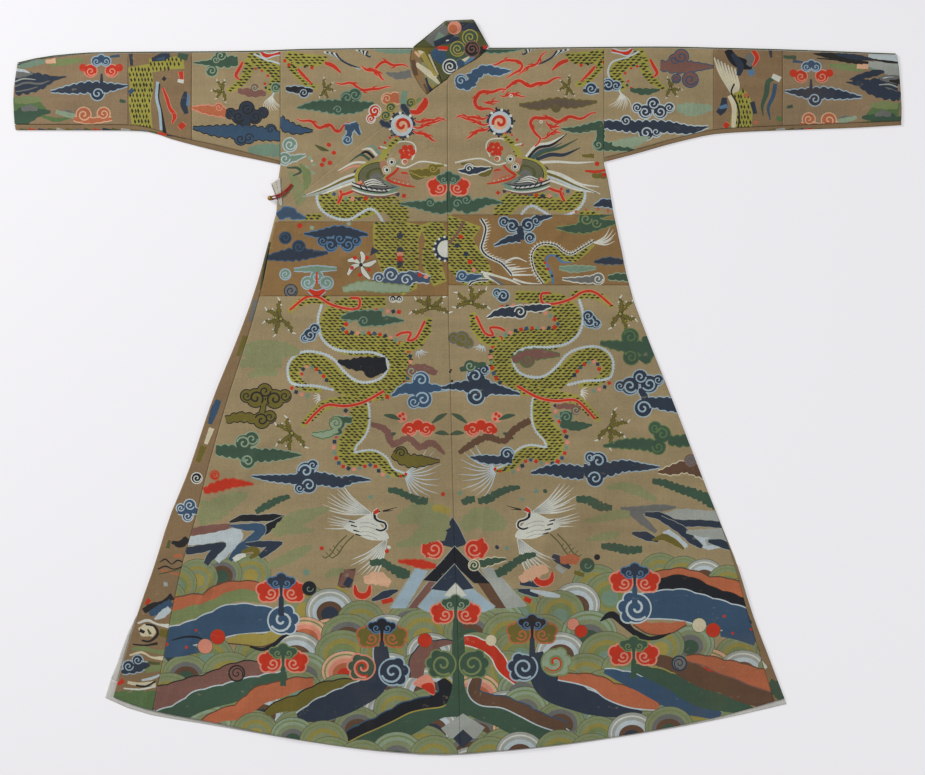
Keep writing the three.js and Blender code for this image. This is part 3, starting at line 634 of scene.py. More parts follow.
# %% Heads
def head(field, mane):
    """A dragon's head in profile, looking to the middle."""
    for silk, points, widths in mane:
        stroke(field, silk, points, widths)
    for k, (silk, low) in enumerate((("white", 0), ("olive", 2.6), ("ice", 5.2), ("white", 8.2))):
        stroke(field, silk, [(362, 172 + low), (344, 178 + low), (326, 187 + low * 0.7),
                             (302 + 3 * k, 197 - k * 0.6)], [2.4, 2.2, 1.8, 0.8])
    stroke(field, "gold", [(357, 184), (357, 174), (364, 166), (378, 162)], [3, 4, 4, 2])
    cap = closed([(357, 184), (355.6, 175), (360, 167.5), (368, 162.6), (378, 160.2),
                  (384, 161), (387, 168), (386, 176), (381, 180), (368, 182.5)])
    for silk, share in (("scale", 1.0), ("ink", 0.87), ("cap", 0.83), ("moss", 0.5),
                        ("cap", 0.36)):
        weave(field, silk, cap * share + np.array([377, 175.5]) * (1 - share))
    stroke(field, "smoke", [(370, 179), (377, 175.5), (383, 178)], [2.4, 4.6, 2])
    # lower jaw with its striped beard, then the open mouth and the upper lip
    jaw = closed([(366, 182), (374, 178.5), (384, 180), (391, 184), (399, 187.4), (392, 191.5),
                  (380, 190.5), (367, 187)])
    weave(field, "smoke", jaw)
    for k in range(3):
        stroke(field, "ink", [(363 + k, 183.2 + 2.1 * k), (373, 180.2 + 2.3 * k),
                              (384 + 2 * k, 183.6 + 1.7 * k)], [1.2, 2.5, 0.8])
        stroke(field, "white", [(364 + k, 182.6 + 2.1 * k), (373, 179.8 + 2.3 * k),
                                (382 + 2 * k, 182.8 + 1.7 * k)], [0.8, 1.6, 0.5])
    stroke(field, "teal", [(384, 182), (391, 186)], [2.2, 1])
    stroke(field, "pink", [(357, 184), (362, 181.6)], [2, 3])
    stroke(field, "red", [(357, 186), (363, 183.6)], [1.2, 1.6])
    for k, silk in enumerate(("navy", "white", "black", "teal", "white", "mauve")):
        stroke(field, silk, [(352, 182.5 + k * 1.7), (365, 187 + k * 1.7), (382, 189.5 + k * 1.5),
                             (398, 187 + k * 1.3)], [1.2, 1.9, 1.8, 0.6])
    for k in range(6):
        stroke(field, "black", [(360 + 5 * k, 186.5 + 0.6 * k), (363 + 5 * k, 189.4 + 0.5 * k)],
               [1.6, 0.6])
    mouth = closed([(397.5, 169.5), (391, 175.5), (388, 178.2), (392, 181), (402, 183.6),
                    (412.5, 186.2), (410.4, 181.5), (408.6, 175.4), (404, 172)])
    weave(field, "flesh", mouth)
    stroke(field, "salmon", [(392, 178.4), (399, 180.6), (407, 183.6)], [1.2, 2.0, 0.6])
    stroke(field, "red", [(401, 173.4), (405, 173), (409, 174.6)], [1.0, 2.2, 0.6])
    for k in range(4):
        stroke(field, "white", [(394 + 4.4 * k, 182.4 + 1.0 * k), (395 + 4.4 * k,
               180.4 + 1.1 * k)], [1.3, 0.4])
    line(field, "red", [(398.6, 168), (395, 172.4), (389.5, 176.4), (386.6, 178.4),
                        (391, 181.8), (401, 184.6), (409, 186.4), (415, 187)],
         [1.6, 2.0, 2.2, 2.4, 2.0, 1.8, 1.6, 0.8], "salmon", 0.4)
    line(field, "olive", [(410, 170), (415, 176), (422, 175.5), (428, 170), (434, 167.5),
                          (441, 167)], [2, 6, 6, 4, 3, 1], "ink", 0.3)
    curl(field, "gold", 427.5, 170, 3.4, 1, 40, 1.0, 1.2)
    stroke(field, "teal", [(388, 193), (394, 190.4), (400, 186.8)], [2, 4.4, 1.2])
    # crest, wire of whisker and the red knob on its nose
    stroke(field, "scale", [(382, 160), (387, 150), (396, 139)], [6, 6, 4])
    dots(field, [("red", 1.5, [(380, 148), (385, 143), (390, 138)]),
                 ("ink", 0.9, [(388, 155), (391, 149), (393, 144), (386, 159)])])
    stroke(field, "white", [(380, 147), (390, 148), (400, 142), (412, 143), (416, 150),
                            (412, 160)], 1.3)
    stroke(field, "white", [(396, 166), (406, 168), (420, 162), (434, 163), (447, 166)], 1.4)
    dots(field, [("red", 3.2, [(401.6, 152), (405, 148.2), (410.4, 148), (412.6, 152.6),
                               (408.4, 156.6), (403.4, 156.8), (407, 152.4)]),
                 ("pink", 0.9, [(403.6, 151), (408.4, 150.4), (409.4, 155)])])
    disc(field, "white", 404.5, 162, 3.1)
    disc(field, "red", 405, 162, 2.3)
    disc(field, "flesh", 404.6, 162.4, 1.5)
    stroke(field, "teal", [(394.5, 166), (398.5, 162.5), (400.5, 158.5)], [1.0, 2.2, 0.6])
    stroke(field, "flesh", [(382, 161), (384, 167), (385, 175)], [5, 7, 3])
    for x, y in ((391.5, 162.4), (386.7, 170.2)):
        disc(field, "cream", x, y, 4.4)
        disc(field, "black", x, y, 3.5)
        disc(field, "white", x, y, 3.0)
        disc(field, "black", x + 0.3, y, 1.6)


# %% Manes and the flaming pearls
LEFT_MANE = [("black", [(374, 158), (366, 152), (356, 158)], [3, 2.6, 0.8]),
             ("white", [(377, 156), (370, 149), (362, 150)], [2.6, 2.2, 0.8]),
             ("teal", [(380, 155), (374, 147), (366, 147)], [3, 2.6, 1]),
             ("green", [(370, 160), (361, 155), (350, 162)], [3, 2.4, 0.8]),
             ("white", [(366, 163), (354, 163), (338, 171)], [2.2, 2.0, 0.8]),
             ("pink", [(368, 166), (352, 167), (340, 173)], [1.8, 1.6, 0.6]),
             ("navy", [(362, 169), (356, 172), (353, 177)], [4, 4, 2])]
RIGHT_MANE = [("white", [(376, 160), (366, 149), (352, 146), (337, 138)], [2.6, 2.6, 2.4, 0.6]),
              ("black", [(374, 161), (364, 151), (350, 148), (335, 137)], [2.6, 2.8, 2.4, 0.6]),
              ("blue", [(372, 162), (362, 154), (350, 151), (340, 146)], [2, 2, 1.6, 0.6]),
              ("green", [(370, 162), (358, 155), (342, 151), (324, 142)], [3, 3.4, 2.8, 0.6]),
              ("navy", [(366, 163), (352, 158), (338, 158), (322, 151)], [3.4, 4, 3.2, 0.8]),
              ("white", [(364, 166), (346, 165), (326, 166), (308, 165)], [3, 2.4, 2, 0.8]),
              ("navy", [(361, 169), (356, 172), (352, 177)], [4, 4, 2]),
              ("white", [(356, 174), (340, 178), (322, 187), (303, 190)], [2.6, 2.4, 2, 0.9])]


def pearl(field):
    """The flaming pearl between the two heads."""
    disc(field, "navy", 402, 125.5, 13.5)
    disc(field, "ice", 402, 125.5, 11)
    disc(field, "peach", 402, 125.5, 7.5)
    curl(field, "red", 402, 125.5, 7.5, -1, 20, 3.0, 1.1)
    for k in range(7):
        a = math.radians(50 * k + 12)
        disc(field, "white", 402 + 12.4 * math.cos(a), 125.5 + 12.4 * math.sin(a), 1.6, points=6)
        disc(field, "ink", 402 + 14.4 * math.cos(a + 0.4), 125.5 + 14.4 * math.sin(a + 0.4), 1.3,
             points=5)
    flame(field, [(414, 120), (425, 122), (440, 119), (445, 122)], 3.4)
    flame(field, [(413, 127), (424, 127), (432, 122), (442, 121)], 3.0)
    flame(field, [(413, 131), (422, 134), (436, 141)], 3.4)
    line(field, "red", [(398, 136), (394, 142), (389, 149)], [3, 2.5, 1], "pink", 0.5)
    scales(field, [(399, 138), (394, 143), (388, 149)], [4, 6, 5])


for turned_over, coil, mane in ((0, CLOSE_COIL, LEFT_MANE), (1, OPEN_COIL, RIGHT_MANE)):
    if turned_over:
        FOLDS.append((902, -3))
    for field in CHEST:
        neck(field, coil)
    for field in CHEST:
        head(field, mane)
        pearl(field)
    FOLDS.clear()
print("dragons:", len(shapes), "shapes so far")
# %% [markdown]
# ## Hills and bands along the hem
# The lower border of such a silk is a world of its own: hills that overlap like fish scales,
# each of a few rings of one soft colour after another, with striped water running down between
# them to both sides. Rows of hills are woven from the top down, so each row hides the feet of
# the row above; bands, curls and jewels lie over them, and a last row closes the hem.

# %% Hills
HILL_RINGS = {
    "spring": ("hill", "straw", "spring", "teal"), "gold": ("hill", "straw", "hill", "gold"),
    "grey": ("stone", "ice", "brown", "navy"), "brown": ("hill", "smoke", "brown", "green"),
    "pink": ("peach", "pink", "salmon", "red"), "pale": ("mint", "hill", "smoke", "green"),
}


def hill(x, y, r, kind, tall=0.82):
    """Rings of silk, from the outside in, with a thin dark rim and a lighter line in each."""
    rings = HILL_RINGS[kind]
    disc("skirt", "moss", x, y, r, 0.5, tall)
    for share, silk in ((1.0, rings[0]), (0.9, "spring" if kind != "grey" else "white"),
                        (0.84, rings[0]), (0.72, rings[1]), (0.55, rings[2]), (0.36, rings[3])):
        disc("skirt", silk, x, y + (1 - share) * r * 0.25, r * share, 0, tall)


HILL_KINDS = ("spring", "brown", "gold", "grey", "pale", "gold", "spring", "brown", "pink")
TOP_HILLS = [
    (177, 583, "spring"), (198, 577, "gold"), (222, 573, "brown"), (251, 572, "gold"),
    (166, 598, "spring"), (330, 610, "grey"), (361, 622, "gold"), (410, 624, "brown"),
    (305, 606, "gold"), (500, 622, "pale"), (478, 630, "spring"), (560, 612, "spring"),
    (576, 604, "grey"), (596, 586, "gold"), (610, 594, "spring"), (660, 571, "gold"),
    (683, 574, "spring"), (704, 577, "grey"), (727, 583, "spring"), (520, 610, "spring"),
    (742, 596, "brown"), (330, 640, "pink"),
]
for x, y, kind in sorted(TOP_HILLS, key=lambda h: h[1]):
    hill(x, y, 24 if 300 < x < 620 else 20, kind, 0.9)
for row, y in enumerate(range(634, 790, 19)):
    wide = 44 if row % 2 else 40
    for k, x in enumerate(range(146 + (row % 2) * 21, 800, wide)):
        if y > 640 or 300 < x < 610:
            hill(x + HAND.uniform(-4, 4), y + HAND.uniform(-3, 3), HAND.uniform(23, 28),
                 HILL_KINDS[(3 * row + 2 * k + row * k) % 9])
print("hills woven:", len(shapes), "shapes so far")

# %% [markdown]
# ## Mountain and rocks
# A steep peak stands in the middle of the sea of hills, in facets of navy, black and pale
# blue. Steps of rock come in from both side seams.

# %% Mountain and rocks
FACETS = [
    ("navy", [(452.5, 517), (459, 527), (467, 544), (455, 548), (438, 544), (446, 527)]),
    ("pale", [(416, 568), (428, 571), (406, 608), (391, 608)]),
    ("stone", [(480, 568), (492, 568), (526, 606), (508, 608)]),
    ("mauve", [(429, 581), (441, 583), (424, 608), (408, 608)]),
    ("brown", [(477, 582), (490, 583), (506, 608), (495, 608)]),
    ("pale", [(433, 589), (473, 589), (495, 607), (484, 612), (428, 612), (418, 607)]),
    ("black", [(454.5, 546), (468, 560), (490, 583), (474, 583), (454, 564), (440, 582),
               (423, 580), (441, 562)]),
    ("navy", [(454.5, 564), (474, 588), (462, 590), (455, 585), (447, 591), (431, 589)]),
    ("white", [(455.5, 583), (467, 595), (455, 598), (444, 595)]),
]
for silk, ring in FACETS:
    weave("skirt", "stone", [(x + (x - 455) * 0.02, y - 0.9) for x, y in ring])
    weave("skirt", silk, ring)
cloud("skirt", "red", "pink", [(434, 549, 8.5, -1, 150)],
      [([(430, 540), (427, 548), (430, 556)], [10, 12, 9]), ([(434, 556), (440, 553)], [7, 5])],
      1.6)
cloud("skirt", "red", "pink", [(474, 549, 8.5, 1, 30)],
      [([(478, 540), (482, 548), (478, 556)], [10, 12, 9]), ([(474, 556), (468, 553)], [7, 5])],
      1.6)
ROCKS = [   # silk, points, widths: steps of rock, on their left and right sides
    ("mauve", [(190, 532), (210, 529), (232, 526)], [8, 9, 6]),
    ("ice", [(187, 541), (212, 538), (238, 533), (228, 546), (216, 560)], [9, 11, 11, 14, 10]),
    ("black", [(230, 522), (243, 518), (260, 518), (274, 517), (289, 517)], [2, 7, 7, 7, 1]),
    ("black", [(284, 517), (272, 526), (262, 532), (256, 538)], [3, 9, 8, 2]),
    ("blue", [(230, 525.5), (246, 527), (262, 528), (252, 540), (240, 549), (230, 560)],
     [2, 7, 9, 10, 9, 5]),
    ("navy", [(186, 551), (205, 548), (225, 544), (214, 553), (206, 564)], [8, 8, 4, 9, 6]),
    ("navy", [(246, 544), (262, 544), (282, 542.5), (270, 549), (260, 557)], [3, 7, 2, 8, 5]),
    ("olive", [(242, 552), (252, 549), (258, 552), (250, 558)], [3, 6, 6, 3]),
    ("white", [(234, 560), (240, 556), (246, 555)], [5, 6, 3]),
    ("smoke", [(620, 508), (640, 510), (660, 508), (676, 507)], [2, 9, 8, 2]),
    ("smoke", [(630, 510), (642, 520), (656, 532)], [8, 9, 4]),
    ("stone", [(664, 514), (680, 513), (700, 514), (722, 516)], [2, 9, 9, 8]),
    ("navy", [(645, 514), (660, 516), (676, 523), (700, 523), (724, 525)], [4, 8, 8, 7, 7]),
    ("navy", [(660, 518), (680, 529), (692, 540), (702, 547)], [5, 9, 8, 4]),
    ("ice", [(664, 533), (674, 538), (686, 547)], [4, 9, 6]),
    ("stone", [(686, 532), (704, 533), (726, 534), (706, 543)], [3, 9, 9, 7]),
    ("navy", [(708, 541), (720, 543), (734, 549)], [3, 8, 6]),
    ("navy", [(632, 533), (646, 536), (658, 541)], [3, 9, 3]),
    ("olive", [(652, 540), (664, 537), (676, 543), (684, 549)], [2, 7, 6, 2]),
    ("navy", [(520, 583), (534, 584), (540, 586)], [4, 6, 2]),
    ("navy", [(518, 590), (530, 592), (538, 596)], [3, 7, 3]),
    ("navy", [(372, 600), (386, 594), (398, 590)], [3, 8, 2]), ("red", [(382, 602), (393, 599)], 5),
    ("red", [(524, 598), (531, 601)], 5), ("ice", [(530, 590), (548, 594), (560, 596)], [2, 6, 3]),
    ("navy", [(552, 556), (560, 560), (570, 568)], [5, 9, 4]),
    ("stone", [(556, 566), (564, 572)], 5), ("olive", [(574, 572), (584, 575)], [4, 5]),
]
for silk, ring in (("stone", [(662, 515), (680, 509), (714, 511), (722, 521), (700, 521.5),
                              (680, 519.5)]),
                   ("ice", [(684, 530), (726, 529), (734, 545), (708, 550), (697, 545)]),
                   ("ice", [(662, 532), (669, 529), (680, 537), (688, 547), (680, 547),
                            (671, 541)])):
    weave("skirt", silk, ring)
for silk, points, widths in ROCKS:
    line("skirt", silk, points, widths, "stone" if silk in ("navy", "blue", "black") else None,
         0.5, ripple=0.16, pitch=11)
print("facets and rocks:", len(FACETS) + len(ROCKS))

# %% [markdown]
# ### Striped water
# Water runs down from the mountain's foot to both sides in broad bands. A band is a stroke with
# its own width at every point; the thin lines over and under it follow the same path, moved out
# to the band's edges, so they stay on it wherever it widens.

# %% Striped water
BANDS = [   # silk, line over it, line under it, points, widths
    ("salmon", "brown", None, [(168, 608), (187, 602), (206, 600), (217, 592), (230, 588),
                               (246, 586.5), (264, 588)], [12, 12, 11, 11, 10, 9, 8]),
    ("spring", None, None, [(166, 621), (190, 613), (207, 609), (222, 602), (235, 596),
                            (250, 596), (266, 598)], [12, 12, 12, 11, 11, 11, 10]),
    ("blue", "ice", "ice", [(164, 640), (190, 634), (212, 627), (232, 620), (252, 619),
                            (272, 620)], [20, 22, 26, 29, 27, 22]),
    ("gold", None, "brown", [(228, 641), (245, 639), (262, 640), (280, 634), (292, 630)],
     [3, 10, 11, 8, 3]),
    ("blue", None, None, [(160, 652), (182, 650), (200, 650)], [12, 12, 5]),
    ("mauve", "ink", "ice", [(152, 700), (174, 696), (190, 688), (206, 683), (222, 677),
                             (236, 673), (252, 670), (268, 668)], [22, 24, 19, 15, 16, 18, 17, 9]),
    ("green", "ice", None, [(155, 718), (180, 712), (199, 702), (216, 697), (232, 693),
                            (246, 688), (264, 683), (288, 678)], [10, 16, 20, 19, 19, 17, 15, 14]),
    ("salmon", "brown", None, [(203, 724), (220, 716), (238, 712), (250, 704), (262, 695),
                               (280, 690), (298, 684), (314, 683)], [7, 11, 14, 16, 17, 15, 12, 8]),
    ("olive", "ink", None, [(266, 714), (282, 706), (298, 703), (311, 696), (325, 690),
                            (344, 686), (358, 683)], [5, 11, 14, 14, 14, 12, 8]),
    ("navy", "ice", None, [(381, 646), (383, 668), (376, 684), (360, 694), (338, 704),
                           (316, 712), (298, 717)], [13, 16, 21, 24, 25, 20, 6]),
    ("mauve", "navy", None, [(454, 642.5), (440, 644), (427, 649), (419, 660), (417, 678)],
     [2, 6, 12, 15, 12]),
    ("red", "white", "white", [(461, 640), (474, 642), (486, 647), (496, 655), (503, 668),
                               (516, 682)], [7, 9, 9, 10, 10, 4]),
    ("green", "gold", None, [(452, 690), (446, 706), (428, 712), (404, 724), (376, 734),
                             (350, 746)], [6, 16, 22, 26, 22, 12]),
    ("green", "ice", None, [(466, 694), (474, 708), (496, 714), (520, 724), (548, 732),
                            (570, 740)], [6, 16, 22, 24, 20, 14]),
    ("black", "blue", "gold", [(441, 679), (447, 689), (441, 699), (425, 703), (408, 707),
                               (392, 715), (376, 723), (358, 731), (340, 742)],
     [8, 14, 13, 10, 10, 10, 9, 9, 7]),
    ("brown", "blue", "ice", [(477, 677), (473, 690), (482, 699), (503, 702), (522, 710),
                              (542, 720), (566, 728)], [8, 10, 11, 10, 11, 11, 10]),
    ("navy", "ice", None, [(536, 652), (538, 672), (550, 687), (574, 697), (598, 706),
                           (622, 711), (642, 712)], [14, 19, 26, 26, 20, 12, 2]),
    ("salmon", "brown", "ice", [(558, 677), (580, 679), (597, 683), (610, 691), (628, 697),
                                (645, 701), (658, 708)], [4, 9, 13, 16, 18, 16, 4]),
    ("blue", "ice", None, [(604, 671), (622, 677), (640, 684), (655, 691), (672, 700),
                           (690, 707), (720, 716)], [4, 11, 15, 17, 18, 16, 8]),
    ("green", "gold", None, [(632, 667), (655, 675), (672, 682), (690, 693), (708, 700),
                             (728, 704), (752, 712)], [7, 13, 16, 18, 18, 16, 8]),
    ("brown", None, None, [(652, 659), (672, 664), (690, 672), (706, 680), (722, 684),
                           (742, 692), (778, 702)], [9, 13, 18, 18, 18, 20, 20]),
    ("salmon", "brown", "mauve", [(686, 658), (706, 661), (722, 667), (738, 671), (754, 677),
                                  (778, 683)], [4, 9, 13, 15, 17, 20]),
    ("salmon", "brown", None, [(652, 577), (676, 574), (694, 577), (710, 584), (726, 586),
                               (748, 594)], [6, 9, 10, 12, 14, 12]),
    ("black", "ink", None, [(648, 589), (668, 584), (684, 583), (698, 588), (712, 595),
                            (728, 600), (750, 607)], [6, 12, 12, 12, 12, 12, 10]),
    ("blue", "ice", "ice", [(636, 607), (660, 605), (680, 605), (700, 610), (722, 616),
                            (756, 626)], [22, 26, 29, 28, 27, 26]),
    ("salmon", None, "brown", [(634, 622), (650, 628), (668, 628), (686, 623)], [4, 10, 10, 2]),
    ("black", None, None, [(600, 621), (612, 615), (624, 624), (640, 636), (656, 638),
                           (670, 633)], [1, 6, 6, 5, 3, 1]),
    ("blue", None, None, [(720, 634), (738, 634), (756, 640)], [5, 12, 12]),
]
for x, y, kind in ((398, 708, "gold"), (358, 727, "brown"), (525, 707, "pale"),
                   (560, 722, "brown"), (690, 643, "pale"), (660, 645, "gold")):
    hill(x, y, 24, kind, 0.86)
for silk, over, under, points, widths in BANDS:
    run = smooth(np.column_stack([points, widths]), 2.5)
    across = sides_of(run[:, :2])
    across *= -np.sign(across[:, 1].sum())             # always towards the collar
    wave = 1.3 * np.abs(np.sin(np.arange(len(run)) * 0.42))[:, None]
    for edge, way in ((over, 1), (under, -1)):
        if edge:
            stroke("skirt", edge, run[:, :2] + across * way * (run[:, 2:] / 2 + wave * (way > 0)),
                   2.6, soft=False)
    stroke("skirt", silk, run[:, :2] + across * wave / 2, run[:, 2] + wave[:, 0], soft=False)
line("skirt", "black", [(250, 646), (262, 649), (274, 644.5), (284, 636), (298, 630)],
     [2, 3.5, 4, 3.5, 1])
line("skirt", "black", [(172, 640), (186, 636.5), (198, 637), (206, 641)], [1, 2, 2, 1])
print("bands:", len(BANDS))

# %% [markdown]
# ### Trunk, curls and jewels
# In front of the bands stand a trunk, the round heads of waves, blossoms of three heads and
# scattered jewels. Each kind is a function, and the tables say where one stands.

# %% Trunk, curls and jewels of the hem
stroke("skirt", "green", [(458, 622), (458.5, 650), (458.5, 690), (460, 716)],
       [9, 13, 14, 44])
stroke("skirt", "moss", [(458, 612), (458.5, 660)], [0.9, 0.9])


def big_curl(x, y, r, fill, edge, way, start, inner):
    """The round head of a wave, with lobes on its outer side and one or two spirals."""
    for silk, grow in ((edge, 1.6), (fill, 0)):
        disc("skirt", silk, x, y, r, grow)
        for turn in (-58, -8, 44) if r > 10 else ():      # lobes on its outer side
            a = math.radians(turn)
            disc("skirt", silk, x - way * 0.86 * r * math.cos(a), y + 0.8 * r * math.sin(a),
                 0.44 * r, grow)
    if inner:
        curl("skirt", inner, x, y, r * 0.86, way, start, r * 0.30, 1.1)
    curl("skirt", edge, x, y, r * 0.9, way, start + 12, r * 0.17, 1.35)


for x, y, r, fill, edge, way, start, inner in [
        (442.5, 664, 12.5, "green", "spring", 1, 40, None),
        (472.5, 664, 12.5, "green", "spring", -1, 140, None),
        (363, 667, 11.5, "green", "pink", 1, 60, "red"),
        (392.5, 671.5, 12.5, "navy", "pale", -1, 150, None),
        (524, 667, 12.5, "navy", "pale", 1, 40, None),
        (554.5, 662, 12.5, "mint", "spring", -1, 150, "red"),
        (282, 620, 13, "blue", "ice", -1, 140, None),
        (636, 608, 14, "blue", "ice", 1, 30, None),
        (237, 673, 7, "mauve", "ink", -1, 20, None),
        (679, 663, 6.5, "smoke", "navy", 1, 80, None)]:
    big_curl(x, y, r, fill, edge, way, start, inner)


def trio(x, y, top, fill, edge, stem, size=1.0, field="skirt", top_edge="mint"):
    """Three round heads on a stem: a small one of two curls over two larger ones."""
    r = 9.0 * size
    if stem:
        stroke(field, stem, [(x, y), (x, y + 2.6 * r)], [4.5 * size, 6 * size])
    for silk, grow in ((edge, 1.7), (fill, 0.0)):
        for way in (-1, 1):
            for dx, dy, part in ((1.28, 0, 1.0), (2.1, -0.35, 0.62), (1.9, 0.45, 0.55),
                                 (1.5, -0.75, 0.5)):
                disc(field, silk, x + way * dx * r, y + dy * r, part * r, grow)
    for way in (-1, 1):
        curl(field, edge, x + way * 1.15 * r, y + 0.12 * r, 0.66 * r, way, 90 - way * 60,
             0.2 * r, 1.3)
    for silk, grow in ((top_edge, 1.2), (top, 0.0)):
        for dx, dy, part in ((-0.62, -1.1, 0.62), (0.62, -1.1, 0.62), (0, -1.5, 0.6),
                             (-1.15, -1.25, 0.38), (1.15, -1.25, 0.38)):
            disc(field, silk, x + dx * r, y + dy * r, part * r, grow)
        stroke(field, silk, [(x, y - r), (x, y + 0.5 * r)], [0.4 * r, 0.25 * r], grow=0)
    for way in (-1, 1):
        curl(field, top_edge, x + way * 0.6 * r, y - 1.0 * r, 0.45 * r, -way, 90 + way * 60,
             0.13 * r, 1.2)


for x, y, top, fill, edge, stem, top_edge in [
        (281.5, 592, "navy", "red", "pink", "navy", "sky"),
        (283.5, 662, "green", "red", "pink", "green", "spring"),
        (455.5, 613.5, "green", "red", "pink", "green", "mint"),
        (382, 637, "black", "olive", "salmon", "navy", "sky"),
        (532, 633, "black", "olive", "salmon", "navy", "sky"),
        (634.5, 582, "navy", "red", "pink", "blue", "sky"),
        (633.5, 655, "green", "red", "pink", "green", "spring")]:
    trio(x, y, top, fill, edge, stem, 1.0, top_edge=top_edge)

for silk, x, y, r in [("red", 218, 636.5, 7.4), ("pink", 205.5, 646, 7.4), ("red", 425, 640, 7),
                      ("cream", 491, 640, 5), ("cream", 699, 625, 7), ("red", 713, 630, 7),
                      ("pink", 573, 624, 6), ("red", 581, 631, 6.2), ("black", 309.5, 588, 7),
                      ("green", 587, 565, 7), ("teal", 306.5, 572, 3), ("black", 597, 557, 2.6)]:
    disc("skirt", "moss" if r > 5 else silk, x, y, r, 0.5)
    disc("skirt", silk, x, y, r)
    if r > 6.5 and silk in ("black", "green"):
        curl("skirt", "teal", x, y, r * 0.6, 1, 0, 0.9, 0.8)
dots("skirt", [("red", 1.6, [(167.5, 644), (196.5, 630), (187, 647), (724, 616), (732.5, 633),
                             (751, 629)])])
weave("skirt", "pink", closed([(413, 683), (426, 674), (434, 681), (434, 695), (423, 688)]))
weave("skirt", "red", closed([(421, 686), (430, 682), (434, 686), (434, 694)]))
weave("skirt", "brown", [(337, 588), (341, 570), (356, 568), (352, 587)])
weave("skirt", "mauve", [(338, 586), (344, 569), (356, 571), (352, 586)])
weave("skirt", "navy", [(343, 584), (348, 576), (354, 580), (349, 588)])
stroke("skirt", "gold", [(336, 586), (344, 590), (350, 592)], 2.4)
for x, y, r in ((362.5, 590, 7.5), (543.5, 577, 9)):
    line("skirt", "red", [(x - r, y - 5), (x - 0.8 * r, y + 3), (x, y + 6), (x + 0.8 * r, y + 3),
                          (x + r, y - 5)], [2, 5, 6, 5, 2], "pink", 0.9)
print("hem:", len(shapes), "shapes so far")

# %% The last row of hills
for x, y, r, kind in [(256, 731, 22, "gold"), (293, 736, 22, "pale"), (324, 741, 24, "gold"),
                      (598, 735, 22, "spring"), (632, 733, 24, "grey"), (669, 727, 24, "brown"),
                      (330, 757, 24, "gold"), (397, 754, 26, "pale"), (434, 756, 24, "gold"),
                      (490, 757, 24, "gold"), (520, 752, 24, "grey"), (560, 750, 24, "spring"),
                      (592, 752, 22, "gold"), (362, 760, 24, "spring"), (640, 748, 18, "pale")]:
    hill(x, y, r, kind, 0.86)
weave("skirt", "stone", [(441, 728), (463, 713), (485, 727), (476, 738), (450, 738)])
weave("skirt", "navy", [(453, 738), (463, 729), (473, 738), (463, 748)])
print("last row done")

# %% [markdown]
# ## Cranes
# A crane flies to the peak from each side.

# %% Cranes
def crane():
    """A crane with spread wings, its neck bent back and its legs trailing."""
    for x, y, start, stop, count, reach in ((372, 514, 186, 226, 9, 46), (370, 522, 172, 190, 5,
                                                                          42),
                                            (387, 539, 108, 150, 8, 44)):
        fan("skirt", "white", x, y, start, stop, count, reach, 1.7, -0.10, 1)
        fan("skirt", "stone", x, y, start + 2, stop - 2, count - 1, reach * 0.8, 0.6, -0.10, 2)
    weave("skirt", "white", closed([(372, 514), (380, 524), (389, 538), (372, 540), (356, 534),
                                    (344, 527), (356, 520)]))
    for y in (521, 525, 530, 534):
        stroke("skirt", "black", [(349 + (y - 521) * 0.5, y), (355 + (y - 521) * 0.5, y + 1.6)],
               [1.5, 1.0])
        stroke("skirt", "stone", [(360, y + 2), (368, y + 1.5), (378, y + 5)], 0.7)
    line("skirt", "black", [(375, 512), (375, 518), (379, 521), (385, 523), (386, 528),
                            (381, 530.5), (376, 529)], [3, 2.6, 2, 2, 2, 1.8, 1.4], "white", 1.2)
    line("skirt", "red", [(374, 513), (379, 510)], [3.4, 4.4], "white", 0.6)
    disc("skirt", "ink", 379.5, 511.5, 0.8)
    for tip in ((397.5, 507), (393, 510.5)):
        stroke("skirt", "ink", [(383, 511), tip], [1.6, 0.4])
    for shift in (0, 7):
        stroke("skirt", "moss", [(347 + shift, 535), (338 + shift, 544), (331 + shift, 554),
                                 (325 + shift, 558)], 1.2)
        for k in range(4):
            x = 325 + shift + 3.6 * k
            stroke("skirt", "moss", [(x, 558 - 3.4 * k), (x - 2.5, 555.5 - 3.4 * k)], 0.8)


both_sides(crane, 904, -1.5)
print("cranes: 2")

# %% [markdown]
# ## Clouds between them
# Clouds fill the ground. Where two rows of the table are alike, the weaver used the same
# cartoon twice, turned over, with other silks on the shuttle.

